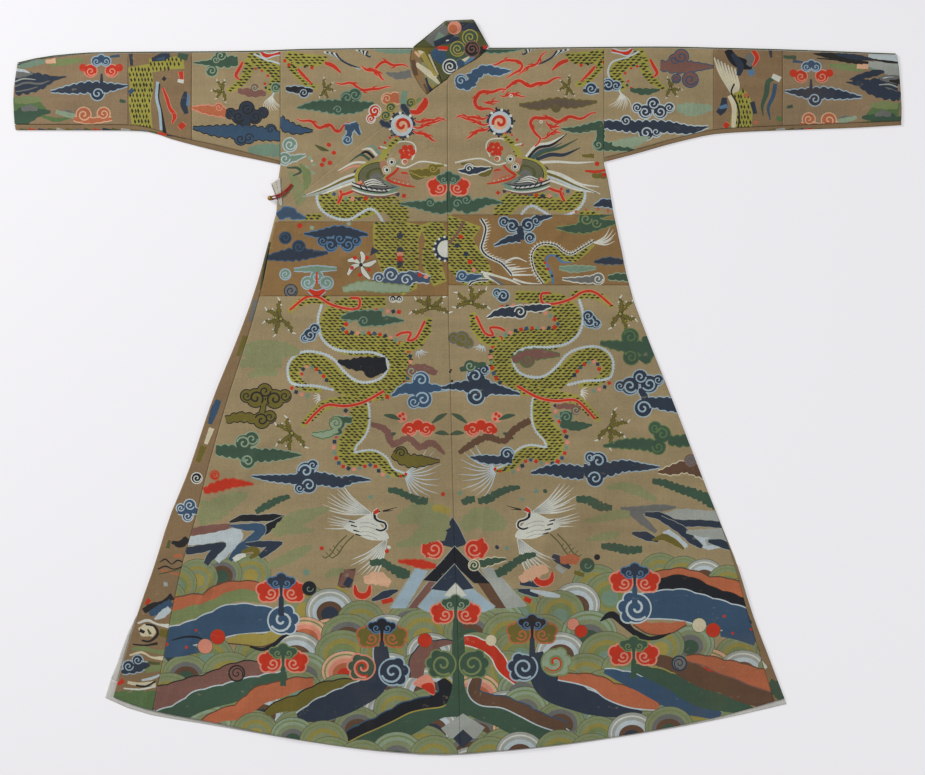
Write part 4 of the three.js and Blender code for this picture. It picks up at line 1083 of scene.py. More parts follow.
# %% Clouds on the skirt
S = "skirt"
WASHES = [   # soft pale patches without an outline: silk, points, widths
    ("wash", [(236, 352), (262, 348), (286, 350), (300, 352)], [10, 18, 16, 6]),
    ("wash", [(240, 364), (262, 360), (282, 362)], [8, 18, 14]),
    ("wash", [(248, 376), (262, 372), (278, 373)], [5, 10, 7]),
    ("wash", [(198, 520), (215, 510), (232, 500), (248, 494)], [16, 24, 18, 6]),
    ("wash", [(196, 500), (212, 506), (226, 504)], [4, 10, 10]),
    ("wash", [(274, 534), (292, 522), (310, 514), (330, 508)], [10, 20, 14, 4]),
    ("wash", [(280, 532), (300, 530), (314, 530)], [6, 8, 3]),
    ("wash", [(268, 566), (284, 560), (300, 552), (312, 546)], [8, 12, 12, 5]),
    ("wash", [(398, 520), (416, 514), (436, 516), (446, 530)], [10, 24, 24, 12]),
    ("wash", [(396, 545), (412, 542), (430, 532), (446, 536)], [5, 12, 24, 10]),
    ("gold", [(432, 508), (440, 508), (450, 512)], [5, 9, 6]),
    ("wash", [(462, 528), (476, 518), (490, 520), (506, 526)], [14, 22, 26, 10]),
    ("wash", [(606, 488), (620, 486), (636, 490), (656, 500)], [4, 9, 12, 6]),
    ("wash", [(584, 521), (598, 519), (614, 515), (630, 514)], [3, 8, 11, 8]),
    ("wash", [(586, 540), (606, 536), (620, 534)], [4, 10, 5]),
    ("peach", [(364, 580), (378, 578), (390, 584)], [8, 15, 8]),
    ("peach", [(520, 580), (534, 572), (548, 568)], [8, 14, 8]),
    ("salmon", [(560, 560), (572, 559), (578, 562)], [8, 12, 8]),
    ("wash", [(326, 576), (334, 572), (344, 570)], [5, 9, 4]),
]
for silk, points, widths in WASHES:
    stroke(S, silk, points, widths, ripple=0.3, pitch=8)
CLOUDS = [   # field, silk, outline, heads, tails
    (S, "black", "ink", [(371, 371, 6, 1, 200)],
     [([(338, 361), (350, 364), (364, 364), (386, 363)], [1, 9, 14, 10]),
      ([(372, 370), (380, 369), (387, 367)], [12, 10, 4])]),
    (S, "green", "teal", [(364, 321, 5.5, 1, 180)],
     [([(341, 318), (352, 316), (368, 315), (382, 314)], [2, 9, 10, 6]),
      ([(364, 321), (380, 321), (392, 320), (404, 321)], [10, 10, 7, 1])]),
    (S, "navy", "pale", [(310, 335, 6, -1, 180), (315, 329, 5, 1, 0), (305, 338, 4, 1, 0)], []),
    (S, "navy", "pale", [(590, 321, 6.5, -1, 180), (588, 316, 5, 1, 0), (596, 324, 4.5, 1, 0)], []),
    (S, "navy", "white", [(520, 312, 6.5, 1, 180)],
     [([(487, 318), (498, 313), (512, 312), (524, 310)], [1, 8, 11, 9]),
      ([(524, 308), (538, 308), (551, 306)], [5, 8, 2])]),
    (S, "navy", "pale", [(503, 296, 6, 1, 160), (497, 293, 4, 1, 0)], []),
    (S, "mauve", "leaf", [(527, 360, 7, -1, 180)],
     [([(512, 360), (524, 356), (540, 354), (560, 355)], [6, 12, 11, 2])]),
    (S, "mauve", None, [(412, 371, 6, 1, 0)], [([(408, 369), (424, 369), (437, 373)], [9, 11, 6])]),
    (S, "olive", "ink", [(256, 398, 9, -1, 40), (275, 399, 9, 1, 140), (247, 396, 6, 1, 0),
                         (285, 396, 6, 1, 0), (265, 391, 7, 1, 0), (262, 420, 8, 1, 200),
                         (270, 417, 6, 1, 0)],
     [([(226, 420), (240, 417), (256, 419)], [7, 10, 10]), ([(265, 400), (262, 414)], [5, 5])]),
    (S, "navy", "pale", [(630, 386, 8.5, 1, 30), (649, 384, 8.5, -1, 150), (620, 386, 5, 1, 0),
                         (658, 380, 5, 1, 0), (640, 377, 7, 1, 0), (643, 408, 8.5, -1, 0)],
     [([(641, 388), (646, 400), (654, 402)], [8, 8, 10]),
      ([(650, 402), (666, 404), (684, 406)], [10, 15, 15])]),
    (S, "blue", "pale", [(421, 380, 8, 1, 180), (423, 399, 8.5, 1, 200), (414, 402, 6, 1, 0)],
     [([(392, 396), (404, 389), (418, 389), (432, 388), (449, 389)], [2, 10, 14, 9, 2]),
      ([(420, 386), (420, 396)], [12, 12])]),
    (S, "navy", "pale", [(475, 376, 8, 1, 180), (476, 396, 8.5, 1, 200), (484, 370, 5, 1, 0)],
     [([(441, 388), (458, 386), (474, 387), (488, 388), (520, 394)], [2, 9, 15, 14, 2]),
      ([(478, 378), (484, 386), (482, 396)], [12, 15, 13])]),
    (S, "green", None, [(470, 366, 6, 1, 0)], [([(460, 370), (472, 366), (486, 364)], [5, 8, 4])]),
    (S, "green", "leaf", [(630, 337, 8, 1, 200), (631, 357, 7.5, 1, 200)],
     [([(600, 343), (614, 345), (630, 347), (648, 348)], [3, 9, 12, 14]),
      ([(646, 336), (648, 352), (642, 362)], [8, 14, 10])]),
    (S, "olive", "smoke", [(462, 339, 7, 1, 180), (454, 338, 5, 1, 0), (468, 343, 5, 1, 0)], []),
    (S, "green", "mint", [(338, 423, 7, 1, 190)],
     [([(312, 434), (326, 434), (342, 431)], [2, 7, 6]), ([(338, 420), (352, 420)], [8, 6])]),
    (S, "mauve", None, [(576, 410, 5, 1, 0)], [([(556, 407), (568, 406), (580, 410)], [5, 7, 7])]),
    (S, "green", "teal", [(566, 417, 6, 1, 180)], [([(560, 415), (572, 414)], [6, 4])]),
    (S, "green", None, [], [([(560, 424), (576, 426), (592, 425)], [6, 11, 2])]),
    (S, "green", "mint", [(244, 443, 8, 1, 190), (248, 461, 7, 1, 190), (252, 439, 7, 1, 0)],
     [([(216, 450), (228, 451), (244, 453), (258, 455)], [10, 14, 14, 14]),
      ([(250, 456), (270, 455), (286, 455), (302, 455)], [14, 14, 9, 1])]),
    (S, "green", "leaf", [(662, 434, 8, 1, 190), (658, 447, 7, -1, 190), (655, 428, 6, 1, 0)],
     [([(603, 446), (622, 444), (640, 444), (656, 446)], [1, 9, 12, 13]),
      ([(668, 440), (680, 441), (690, 440)], [9, 12, 12])]),
    (S, "red", "salmon", [(215, 475, 4.5, 1, 180)],
     [([(204, 491), (216, 487), (232, 483), (254, 484)], [6, 11, 10, 1])]),
    (S, "navy", "pale", [(306, 471, 8.5, 1, 180), (309, 485, 7.5, 1, 190), (313, 465, 5, 1, 0),
                         (300, 488, 5, 1, 0)],
     [([(252, 476), (270, 478), (290, 479), (308, 479)], [1, 7, 10, 15]),
      ([(308, 478), (324, 479), (340, 482), (354, 479), (371, 480)], [14, 14, 12, 8, 1])]),
    (S, "navy", "pale", [(598, 461, 8.5, 1, 180), (595, 478, 8, 1, 190), (590, 457, 5, 1, 0)],
     [([(531, 473), (548, 470), (566, 471), (584, 473)], [2, 10, 15, 14]),
      ([(584, 471), (604, 470), (624, 466), (642, 467), (660, 467)], [15, 16, 13, 8, 1])]),
    (S, "olive", "ink", [(401, 453, 6, 1, 170)],
     [([(392, 454), (406, 460), (420, 461), (440, 461)], [6, 13, 12, 1])]),
    (S, "navy", "pale", [(507, 454, 6.5, -1, 0)],
     [([(470, 457), (484, 459), (498, 460), (512, 459)], [1, 9, 9, 9])]),
    (S, "brown", "cream", [], [([(658, 472), (672, 470), (686, 467), (706, 474)], [2, 11, 13,
                                                                                   12])]),
    (S, "smoke", "mauve", [(690.5, 460.5, 5.5, 1, 0)], []),
    (S, "red", "salmon", [], [([(398, 561), (410, 562), (422, 564), (436, 566)], [2, 6, 9, 4])]),
    (S, "green", "cream", [(474, 565, 5, 1, 160)],
     [([(480, 564), (492, 561), (506, 559)], [9, 8, 2])]),
    (S, "mint", "leaf", [(336, 423, 6, 1, 190)], [([(312, 434), (324, 435), (338, 430)], [2, 7,
                                                                                          5])]),
]
STRINGS = [   # lobed green sprays: points from tip to tip, widths
    ([(388, 490), (398, 491), (408, 496), (418, 500), (428, 501)], [6, 8, 8, 10, 8]),
    ([(520, 487), (508, 489), (498, 493), (488, 499), (478, 501)], [4, 8, 9, 10, 7]),
    ([(462, 503), (468, 500), (475, 499)], [7, 9, 7]),
    ([(370, 563), (382, 562), (392, 568), (402, 573), (410, 574)], [7, 9, 10, 13, 8]),
    ([(536, 554), (524, 557), (514, 563), (504, 570), (496, 574)], [5, 9, 9, 11, 9]),
    ([(290, 496), (278, 500), (268, 505), (256, 512)], [5, 8, 9, 6]),
    ([(652, 481), (664, 483), (680, 489), (696, 494), (712, 502), (720, 508)],
     [6, 9, 10, 12, 14, 9]),
    ([(576, 499), (588, 500), (600, 506), (612, 508)], [7, 10, 11, 6]),
    ([(601, 546), (614, 547), (628, 550), (642, 549)], [6, 10, 10, 8]),
]
for row in CLOUDS:
    cloud(*row)
for points, widths in STRINGS:
    stroke(S, "green", points, widths, ripple=0.45, pitch=6)
for x, edge in ((418, "mauve"), (481, "brown")):
    flip = -1 if x > 450 else 1
    lobes(S, "red", "pink", x, 429, 6.4, spread=1.25, rim=1.4)
    disc(S, "red", x - 13 * flip, 430, 3.5)
    disc(S, "red", x + 14 * flip, 428, 3.5)
    disc(S, "pink", x - 16 * flip, 417, 5.6)
    dots(S, [("red", 1.8, [(x - 18 * flip, 416), (x - 14 * flip, 419), (x - 15 * flip, 414)])])
    for dx, dy, degrees, far in ((-34, -14, 16, 17), (14, -6, -32, 18), (17, 4, 6, 14),
                                 (-22, 4, 150, 12)):
        a = math.radians(degrees if flip > 0 else 180 - degrees)
        start = (x + dx * flip, 429 + dy)
        line(S, "green", [start, (start[0] + 0.5 * far * math.cos(a), start[1] + 0.5 * far
                                  * math.sin(a) - 1), (start[0] + far * math.cos(a),
                                                       start[1] + far * math.sin(a))],
             [0.6, 4.2, 0.5], "moss", 0.4)
for silk, points in (("mauve", [(371, 424), (386, 430), (393, 444), (408, 438), (420, 447),
                               (432, 443), (445, 454)]),
                     ("brown", [(459, 453), (472, 444), (487, 437), (504, 441), (514, 430),
                                (530, 420)])):
    stroke(S, silk, points, [5, 8, 8, 7, 8, 8, 3][:len(points)], ripple=0.4, pitch=6)
dots(S, [("ink", 1.3, [(450, 372), (452, 381), (451, 370)]),
         ("teal", 2.4, [(371, 497), (460, 493), (522, 499), (536, 491), (507, 548), (244, 460)]),
         ("red", 2.2, [(443, 494), (387, 551), (322, 548)]), ("green", 2.4, [(545, 491)]),
         ("white", 2.2, [(389, 547)]), ("navy", 2.4, [(497, 547)])])
lobes(S, "black", "white", 396, 299, 3, top=False)
print("skirt:", len(shapes), "shapes")
# %% [markdown]
# ## Chest and shoulders
# Two smaller dragons come over the shoulders, their bodies cut through by the armhole seams.
# Flames, ribbons and clouds fill the rest. The chest field is woven in two panels, the crossing
# front and the front under it, so its rows name both.

# %% Dragons of the shoulders
def shoulder_dragon(sleeve, chest):
    scales(sleeve, [(248, 56), (258, 61), (268, 66), (277, 73), (275, 84), (268, 92)],
           [14, 14, 14, 13, 11, 6])
    stroke(sleeve, "ice", [(254, 54), (266, 60), (281, 65), (285, 77), (277, 88), (272, 97)], 1.7)
    scales(sleeve, [(247, 60), (249, 70), (243, 80), (233, 89), (227, 91)], [8, 9, 9, 6, 3])
    line(sleeve, "red", [(243, 62), (240, 68), (236, 76), (240, 80)], [2, 3, 3, 1], "pink", 0.5)
    claw(sleeve, 223, 91, 180, 11)
    fan(sleeve, "white", 272, 96, 45, 125, 9, 17, 0.8)
    dots(sleeve, [("red", 1.5, [(262, 71), (268, 76), (265, 84), (262, 91), (256, 69)]),
                  ("navy", 1.4, [(259, 68), (266, 88)])])
    line(sleeve, "red", [(261, 52), (266, 56), (273, 55), (281, 53)], [2, 4, 2, 3], "ice", 1.2)
    scales(chest, [(286, 56), (300, 60), (316, 61), (327, 58)], [12, 13, 12, 5])
    scales(chest, [(291, 64), (298, 75), (308, 84), (318, 88)], [9, 8, 7, 4])
    line(chest, "red", [(298, 69), (303, 75), (312, 84)], [2, 3, 1.4], "pink", 0.5)
    dots(chest, [("red", 1.8, [(285, 61), (289, 65), (312, 68)]), ("ink", 1.4, [(294, 67),
                                                                                (305, 67)])])
    claw(chest, 325, 89, 20, 10)
    for x, y, reach in ((324, 52, 1.0), (356, 50, 0.42)):
        for k, silk in enumerate(("white", "green", "ice", "black", "white", "navy")):
            stroke(chest, silk, [(x + 2.4 * k, y + 0.3 * k), (x + 12 * reach + k, y + 5 * reach
                   + 0.6 * k), (x + 22 * reach + k, y + 11 * reach + 0.5 * k),
                   (x + 36 * reach, y + 18 * reach - 0.4 * k)], [1.9, 1.9, 1.9, 0.6])
    line(chest, "red", [(325, 63), (333, 66), (341, 73)], [3, 4, 1.5], "pink", 0.4)


both_sides(shoulder_dragon, 893, -2.5, ("upper_right", CHEST), ("upper_left", "chest"))

# %% [markdown]
# ### Flames and clouds above the waist
# Red flames leap from the pearls to the shoulders, and clouds fill the ground between them. The
# panels were cut from one cloth, so a motif may run from one panel into the next: its field
# names both, and each panel then shows its own part.

# %% Flames
for points, width in [
        ([(408, 67), (394, 64.5), (385, 63), (377, 66), (374, 71), (381, 77)], 3.4),
        ([(362, 66), (369, 70), (377, 73), (385, 80)], 3.6),
        ([(336, 83), (350, 84), (358, 87), (367, 91), (378, 88), (391, 88)], 3.4),
        ([(297, 119), (310, 122), (320, 127), (330, 126), (339, 131), (349, 122)], 3.6),
        ([(490, 65), (504, 62), (516, 60), (521, 66), (517, 73), (506, 77)], 3.2),
        ([(546, 52), (536, 63), (527, 69), (518, 74)], 2.6),
        ([(561, 78), (543, 83), (532, 86), (520, 82), (508, 86), (503, 94)], 4.2),
        ([(506, 90), (496, 91), (486, 92), (477, 96), (474, 102), (480, 108), (495, 111)], 4.6),
        ([(500, 96), (511, 95), (525, 96)], 2.4), ([(483, 101), (490, 103), (499, 102)], 2.2),
        ([(596, 113), (580, 118), (566, 118), (556, 122), (546, 118), (536, 118), (531, 124),
          (533, 132), (541, 138), (534, 146)], 4.2),
        ([(546, 121), (552, 127), (560, 128)], 2.6), ([(541, 139), (552, 134), (561, 132)], 2.6)]:
    flame(CHEST, points, width)
for x, y in ((511, 96), (541, 122)):
    disc("chest", "white", x, y, 1.8)
    disc("chest", "red", x, y, 0.8)
line(CHEST, "red", [(425, 98), (425.4, 103), (421, 109), (417, 112.6), (408, 111.5)],
     [2.4, 6.4, 6.6, 5, 3], "pink", 0.7)
stroke(CHEST, "ground", [(420, 102), (416, 106), (410, 109)], [2, 3.4, 2])
stroke(CHEST, "spring", [(421, 98), (414, 103), (408, 104)], [2, 4, 2])

# %% Clouds of the chest and shoulders
W, B = ("upper_right", "under", "chest"), ("chest", "upper_left")
UR, UL = "upper_right", "upper_left"
for row in [
        (CHEST, "smoke", None, [], [([(386, 73), (397, 76), (411, 74)], [2, 8, 9])]),
        (CHEST, "black", "pale", [(304, 93, 4.5, 1, 180)],
         [([(286, 89), (298, 90), (313, 91)], [4, 8, 4])]),
        (UR, "green", "mint", [(276, 88, 4.5, 1, 0)], []),
        (CHEST, "green", "teal", [(347, 98, 6, 1, 180), (338, 110, 5, 1, 180), (355, 95, 6, 1, 0)],
         [([(297, 108), (315, 106), (335, 107), (356, 107), (374, 104)], [1, 10, 15, 13, 3])]),
        (CHEST, "blue", "pale", [(347.5, 140, 4.5, 1, 180)],
         [([(345, 128), (353, 127), (358, 124)], [7, 8, 6]), ([(352, 127), (348, 137)], [7, 6]),
          ([(356, 127), (360, 135)], [6, 3])]),
        (CHEST, "salmon", "peach", [(387, 99, 5, 1, 160)],
         [([(386, 99), (399, 98)], [11, 12])]),
        (CHEST, "red", "white", [(375, 111, 5.5, -1, 60), (371, 119, 4, 1, 0)], []),
        (CHEST, "green", "gold", [(391, 108, 4.5, 1, 0), (386, 116, 4.5, 1, 0),
                                  (411, 103, 4.5, -1, 90)], []),
        (CHEST, "navy", "smoke", [], [([(380, 121), (386, 125), (391, 126)], [3, 7, 3]),
                                      ([(402, 104), (405, 109), (409, 115)],
                                       [4, 7, 3])]),
        (CHEST, "teal", None, [], [([(405, 91), (403, 104)], [6, 8]),
                                   ([(375, 50), (392, 51), (414, 50)], [3, 7, 8])]),
        ("chest", "green", "teal", [], [([(480, 50), (500, 50.5), (523, 49)], [5, 6, 1])]),
        ("chest", "blue", "pale", [(461, 81, 6, -1, 0)],
         [([(456, 84), (466, 85), (475, 82)], [7, 12, 8]),
          ([(470, 80), (484, 70), (498, 72), (511, 71)], [13, 10, 9, 1])]),
        ("chest", "navy", "pale", [(591, 89, 5.5, 1, 0)],
         [([(583, 91), (599, 91)], [4, 5])]),
        ("chest", "bark", "olive", [(556, 108, 4, 1, 180)],
         [([(519, 105), (536, 106), (556, 103), (576, 104), (597, 102)], [1, 8, 10, 8, 1])]),
        (B, "green", "mint", [(598, 145, 5, -1, 180)],
         [([(561, 129), (576, 130), (592, 127), (603, 124)], [1, 7, 9, 8]),
          ([(601, 128), (600, 142)], [9, 9]), ([(596, 146), (614, 147), (637, 151)], [10, 9, 1])]),
        (UL, "navy", "pale", [(608, 85, 6, 1, 180), (616, 86, 4.5, 1, 0), (602, 84, 4, 1, 0)], []),
        (UL, "navy", "ice", [(645, 112, 6.5, 1, 20), (660, 112, 6.5, -1, 160), (637, 108, 4.5, 1,
                                                                                0),
                             (669, 108, 4.5, 1, 0), (653, 104, 6, 1, 0)], []),
        (UL, "navy", "ice", [(626, 121, 5, -1, 180), (646, 133, 7, -1, 0), (656, 132, 5, 1, 0)],
         [([(600, 124), (618, 126), (640, 127), (665, 127), (690, 130), (708, 127)],
           [9, 11, 14, 13, 9, 1])]),
        (UL, "mint", None, [], [([(612, 144), (634, 142), (650, 137)], [5, 12, 1]),
                                ([(676, 108), (692, 110), (712, 108)], [8, 15, 6])]),
        (UL, "green", None, [], [([(630, 90), (645, 92), (660, 90)], [4, 8, 2])]),
        (UL, "mauve", "blue", [(681, 57, 7, -1, 180), (690, 80, 7.5, 1, 0), (674, 60, 5, 1, 0),
                               (676, 79, 4, 1, 0)],
         [([(660, 66), (678, 67), (696, 67), (714, 67)], [10, 14, 9, 1])]),
        (UR, "blue", "ink", [(271, 130, 5, -1, 0), (241, 139, 6, 1, 0), (249, 138, 5.5, -1, 0)],
         [([(193, 128), (215, 131), (240, 132), (262, 134), (284, 137)], [2, 11, 15, 14, 8])]),
        (UR, "navy", "ink", [(239, 117, 6.5, 1, 30), (255, 117, 6.5, -1, 150), (231, 114, 5, 1, 0),
                             (263, 113, 5, 1, 0), (247, 109, 7, 1, 0)],
         [([(246, 112), (246, 126)], [9, 9])]),
        (W[1:], "blue", "ink", [], [([(279, 119), (286, 126), (298, 130), (313, 131)],
                                     [9, 12, 9, 1])]),
        (CHEST, "teal", "ice", [(290, 145, 6.5, 1, 0), (285, 159, 6, 1, 0)],
         [([(285, 161), (296, 158), (306, 155)], [7, 6, 1])]),
        (UR, "teal", None, [], [([(248, 150), (264, 150), (281, 151)], [6, 14, 14])]),
        (UR, "green", "mint", [(221, 56, 5.5, 1, 0), (212, 71, 5.5, 1, 180), (216, 60, 4, 1, 0)],
         [([(194, 63), (212, 63), (226, 62), (238, 61)], [1, 7, 13, 10])]),
        (UR, "mauve", None, [(255, 88, 4, 1, 0)], [([(238, 91), (252, 93), (266, 94)], [5, 10,
                                                                                        5])]),
        (UR, "salmon", "pink", [(219, 108, 4, 1, 0)],
         [([(192, 108), (206, 110), (226, 113)], [1, 9, 10])]),
        (CHEST, "blue", "sky", [], [([(278, 217), (288, 212), (296, 216), (306, 218)],
                                     [8, 12, 8, 1])]),
        ("chest", "navy", "pale", [], [([(594, 206), (604, 203), (614, 205)], [2, 9, 8])]),
        (CHEST, "olive", "gold", [(433, 169, 4.5, 1, 0)],
         [([(410, 171), (422, 173), (440, 172)], [1, 8, 7]), ([(430, 167), (444, 166)], [5, 1])]),
        (CHEST, "navy", "white", [(469, 169, 4.5, -1, 0)],
         [([(458, 171), (472, 171), (491, 168)], [1, 8, 1])]),
        (CHEST, "green", "teal", [(430, 203, 4.5, 1, 0), (457, 204, 5.5, -1, 0),
                                  (466, 200, 5, 1, 0)],
         [([(400, 204), (418, 205), (440, 208), (452, 205)], [1, 8, 13, 13]),
          ([(450, 200), (468, 207), (485, 202), (502, 203)], [14, 14, 9, 1])]),
        (CHEST, "olive", None, [], [([(582, 156), (594, 156)], [3, 5]),
                                    ([(592, 176), (606, 176)], [5, 7])])]:
    cloud(*row)
trio(448.5, 187.5, "green", "red", "pink", "green", 0.84, CHEST, "teal")
dots(CHEST, [("red", 2.5, [(329, 145), (334, 153), (324, 160), (322, 165), (330, 163), (597, 164),
                           (604, 175)]),
             ("mint", 2.4, [(310, 158), (314, 165), (307, 168), (313, 173), (304, 174), (310,
                                                                                         181)]),
             ("white", 1.4, [(312, 161), (305, 170), (309, 176), (293, 183)]),
             ("salmon", 1.8, [(576, 212), (586, 210), (598, 209), (608, 211)])])
stroke(CHEST, "moss", [(315, 145), (322, 149), (329, 151)], [1, 4, 1])
for silk, points, widths in (
        ("wash", [(289, 172), (296, 182), (300, 198), (298, 206)], [4, 12, 14, 5]),
        ("spring", [(300, 164), (307, 176), (306, 190)], [3, 10, 4]),
        ("green", [(287, 168), (297, 168), (301, 172), (293, 176)], [1.6, 3, 3, 1.4]),
        ("stone", [(302, 197), (318, 194), (330, 190)], [1, 3, 1])):
    stroke(CHEST, silk, points, widths, ripple=0.3)
stroke(CHEST, "red", [(585, 171), (596, 172), (606, 170)], [2, 3, 2])
print("chest:", len(shapes), "shapes")

# %% [markdown]
# ## Waist bands
# The browner bands let in at the waist come from another robe: pieces of larger dragons,
# cut through where the band needed to end.

# %% Waist band of the right half
K = "band_right"
scales(K, [(399, 221), (396, 238), (398, 256), (402, 275), (410, 292)], [50, 46, 42, 34, 16])
scales(K, [(430, 222), (436, 240), (432, 262), (440, 284)], [22, 22, 20, 14])
dots(K, [(silk, 3.4, [(400, y)]) for silk, y in (("navy", 236), ("navy", 250), ("pink", 254.5),
                                                 ("red", 259), ("navy", 264))])
disc(K, "navy", 446, 249, 12.5)
disc(K, "white", 446, 249, 8.6)
for k in range(7):
    a = math.radians(95 + 28 * k)
    disc(K, "white", 446 + 12 * math.cos(a), 249 + 12 * math.sin(a), 1.4, points=6)
weave(K, "navy", [(372, 247), (380, 251), (370, 256)])
for row in [
        ("navy", "sky", [(331, 245, 6.5, 1, 20), (348, 245, 6.5, -1, 160), (323, 241, 5, 1, 0),
                         (356, 241, 5, 1, 0), (340, 239, 6, 1, 0)],
         [([(304, 234), (320, 234), (338, 231), (352, 233), (368, 235)], [1, 8, 11, 9, 2]),
          ([(340, 230), (340, 244)], [6, 8])]),
        ("navy", "blue", [(285.5, 238, 5.5, 1, 180), (299, 247, 6, 1, 0)],
         [([(266, 258), (282, 256), (298, 254), (312, 254), (328, 253)], [3, 10, 14, 8, 1])]),
        ("teal", "pale", [(285.5, 274.5, 5, 1, 0), (308, 283, 6, 1, 20), (327, 283, 6, -1, 160),
                          (317, 277, 6, 1, 0)],
         [([(294, 270), (315, 269), (337, 269)], [2, 6, 2])]),
        ("smoke", "navy", [(291, 291, 6, 1, 0)], []),
        ("blue", "ice", [(391, 275, 7, 1, 0), (406, 280, 7, -1, 0), (379, 278, 5, 1, 0)],
         [([(372, 282), (390, 281), (412, 277), (430, 280)], [4, 10, 12, 7])]),
        ("mint", "spring", [], [([(343, 290), (362, 286), (384, 288), (410, 289)],
                                 [5, 10, 10, 6])])]:
    cloud(K, *row)
stroke(K, "red", [(317, 272), (317, 284)], [1.6, 2.2])
line(K, "red", [(309, 290), (317, 294), (325, 290)], [3, 6, 3], "pale", 0.9)
for x, y, turn in ((348, 261, 200), (376, 261, -20), (348, 275, 150), (370, 279, 50),
                   (361, 252, 270)):
    a = math.radians(turn)
    line(K, "white", [(361, 265), (361 + 8 * math.cos(a + 0.3), 265 + 8 * math.sin(a + 0.3)), (x,
                                                                                               y)],
         [1, 4.6, 2.4], "ink", 0.5)
dots(K, [("red", 2.2, [(355, 258), (367, 258), (352, 268), (369, 270), (360, 275)]),
         ("ink", 2.0, [(361, 265)]), ("red", 2.6, [(420, 275), (300, 226)]),
         ("pink", 2.6, [(426, 277)]), ("mint", 2.4, [(312, 228), (349, 224)])])

# %% Waist band of the left half
K = "band_left"
scales(K, [(462, 220), (456, 238), (462, 256), (474, 272), (484, 288)], [40, 34, 36, 34, 22])
spine = smooth([(481, 219), (485.6, 228), (484, 238), (481.5, 248), (486, 255), (494, 259.5),
                (501, 263), (507, 269), (512, 275)], 1.0)
line(K, "navy", spine, 1.8, "white", 1.0)
for k in range(2, len(spine) - 2, 3):
    x, y = spine[k]
    grow = 1 + max(0, y - 256) * 0.12
    stroke(K, "white", [(x + 1, y), (x + 5.4 * grow, y - 1.6)], [1.2 + 0.1 * grow, 0.4])
stroke(K, "mauve", [(464, 222), (457, 234), (449, 244)], 2.6)
dots(K, [("red", 2.6, [(461, 237), (470, 262)]), ("navy", 2.6, [(457, 246), (466, 254)]),
         ("pink", 2.4, [(474, 270)]), ("teal", 2.2, [(481, 278)])])
for points in ([(481, 272), (496, 276), (512, 281), (530, 290)], [(484, 276), (498, 283),
               (508, 291)], [(483, 274), (495, 281), (502, 288)], [(505, 262), (516, 258),
               (527, 262)], [(508, 268), (518, 269), (530, 268)], [(512, 275), (522, 275),
               (540, 275)], [(513, 279), (526, 283), (540, 284)]):
    stroke(K, "white", points, [2.4, 2.2, 1.8, 0.6][-len(points):])
stroke(K, "smoke", [(489, 276), (500, 283), (508, 290)], [2, 3, 2])
line(K, "ink", [(467, 297), (467, 290), (471, 283), (478, 280.4), (488, 280)], 1.5, "white", 0.9)
scales(K, [(549, 282), (541, 270), (538, 258), (544, 250.5), (554, 250), (563, 256), (573, 258),
           (584, 252), (594, 245)], [9, 12, 12, 10, 9, 9, 9, 6, 2])
stroke(K, "sky", [(553, 284), (551, 272), (546, 262), (549, 256), (556, 256), (562, 262),
                  (572, 262.5)], [3, 3.4, 3, 2.4, 2.6, 3, 1], ripple=0.3, pitch=3)
dots(K, [("red", 1.6, [(545, 263), (548, 269)]), ("navy", 1.6, [(552, 276), (557, 256)])])
spine = smooth([(543, 284), (534.5, 271), (531.5, 257), (535, 248), (544, 243.6), (556, 245.5),
                (563, 251), (571, 254), (581, 248.6), (594, 240.6)], 1.0)
line(K, "ink", spine, 1.5, "white", 0.8)
out = sides_of(spine)
for k in range(2, len(spine) - 1, 3):
    stroke(K, "white", [spine[k], spine[k] + out[k] * (-3.2)], [1.2, 0.4])
fan(K, "white", 594, 243, -45, -5, 5, 22, 1.3)
for row in [
        ("navy", "pale", [(512, 226, 6.5, 1, 20), (528, 225, 6.5, -1, 160), (504, 222, 5, 1, 0),
                          (530, 238, 5, 1, 0), (536, 221, 5, 1, 0)],
         [([(536, 219), (552, 216)], [8, 2]), ([(494, 246), (508, 240), (520, 238)], [1, 7, 9]),
          ([(520, 226), (521, 240)], [8, 8])]),
        ("green", "spring", [(586, 219, 7, 1, 0), (596, 223, 6, 1, 0)],
         [([(556, 228), (574, 229), (590, 226), (617, 222)], [1, 9, 14, 3]),
          ([(584, 217), (600, 215), (617, 213)], [9, 7, 1])]),
        ("teal", "mint", [], [([(559, 268), (574, 269), (596, 268)], [2, 7, 2])]),
        ("smoke", "white", [(598, 279, 5.5, 1, 0)], [([(562, 279), (580, 280), (600, 279)],
                                                      [1, 6, 9])]),
        ("navy", "smoke", [], [([(594, 262), (608, 261), (623, 262)], [2, 8, 5])]),
        ("green", "mint", [], [([(608, 278), (618, 277), (628, 278)], [4, 8, 7])]),
        ("blue", "pale", [(462, 276, 5, 1, 0)], [([(456, 279), (468, 278), (482, 276)], [3, 8,
                                                                                         2])])]:
    cloud(K, *row)
print("waist bands:", len(shapes), "shapes")

# %% [markdown]
# ## Sleeves, gore, strip and collar
# The cuffs carry rocks, clouds and half-faded heads; the patches above them, the gore in the
# side and the strips under the sleeves are offcuts, with whatever was woven on them.

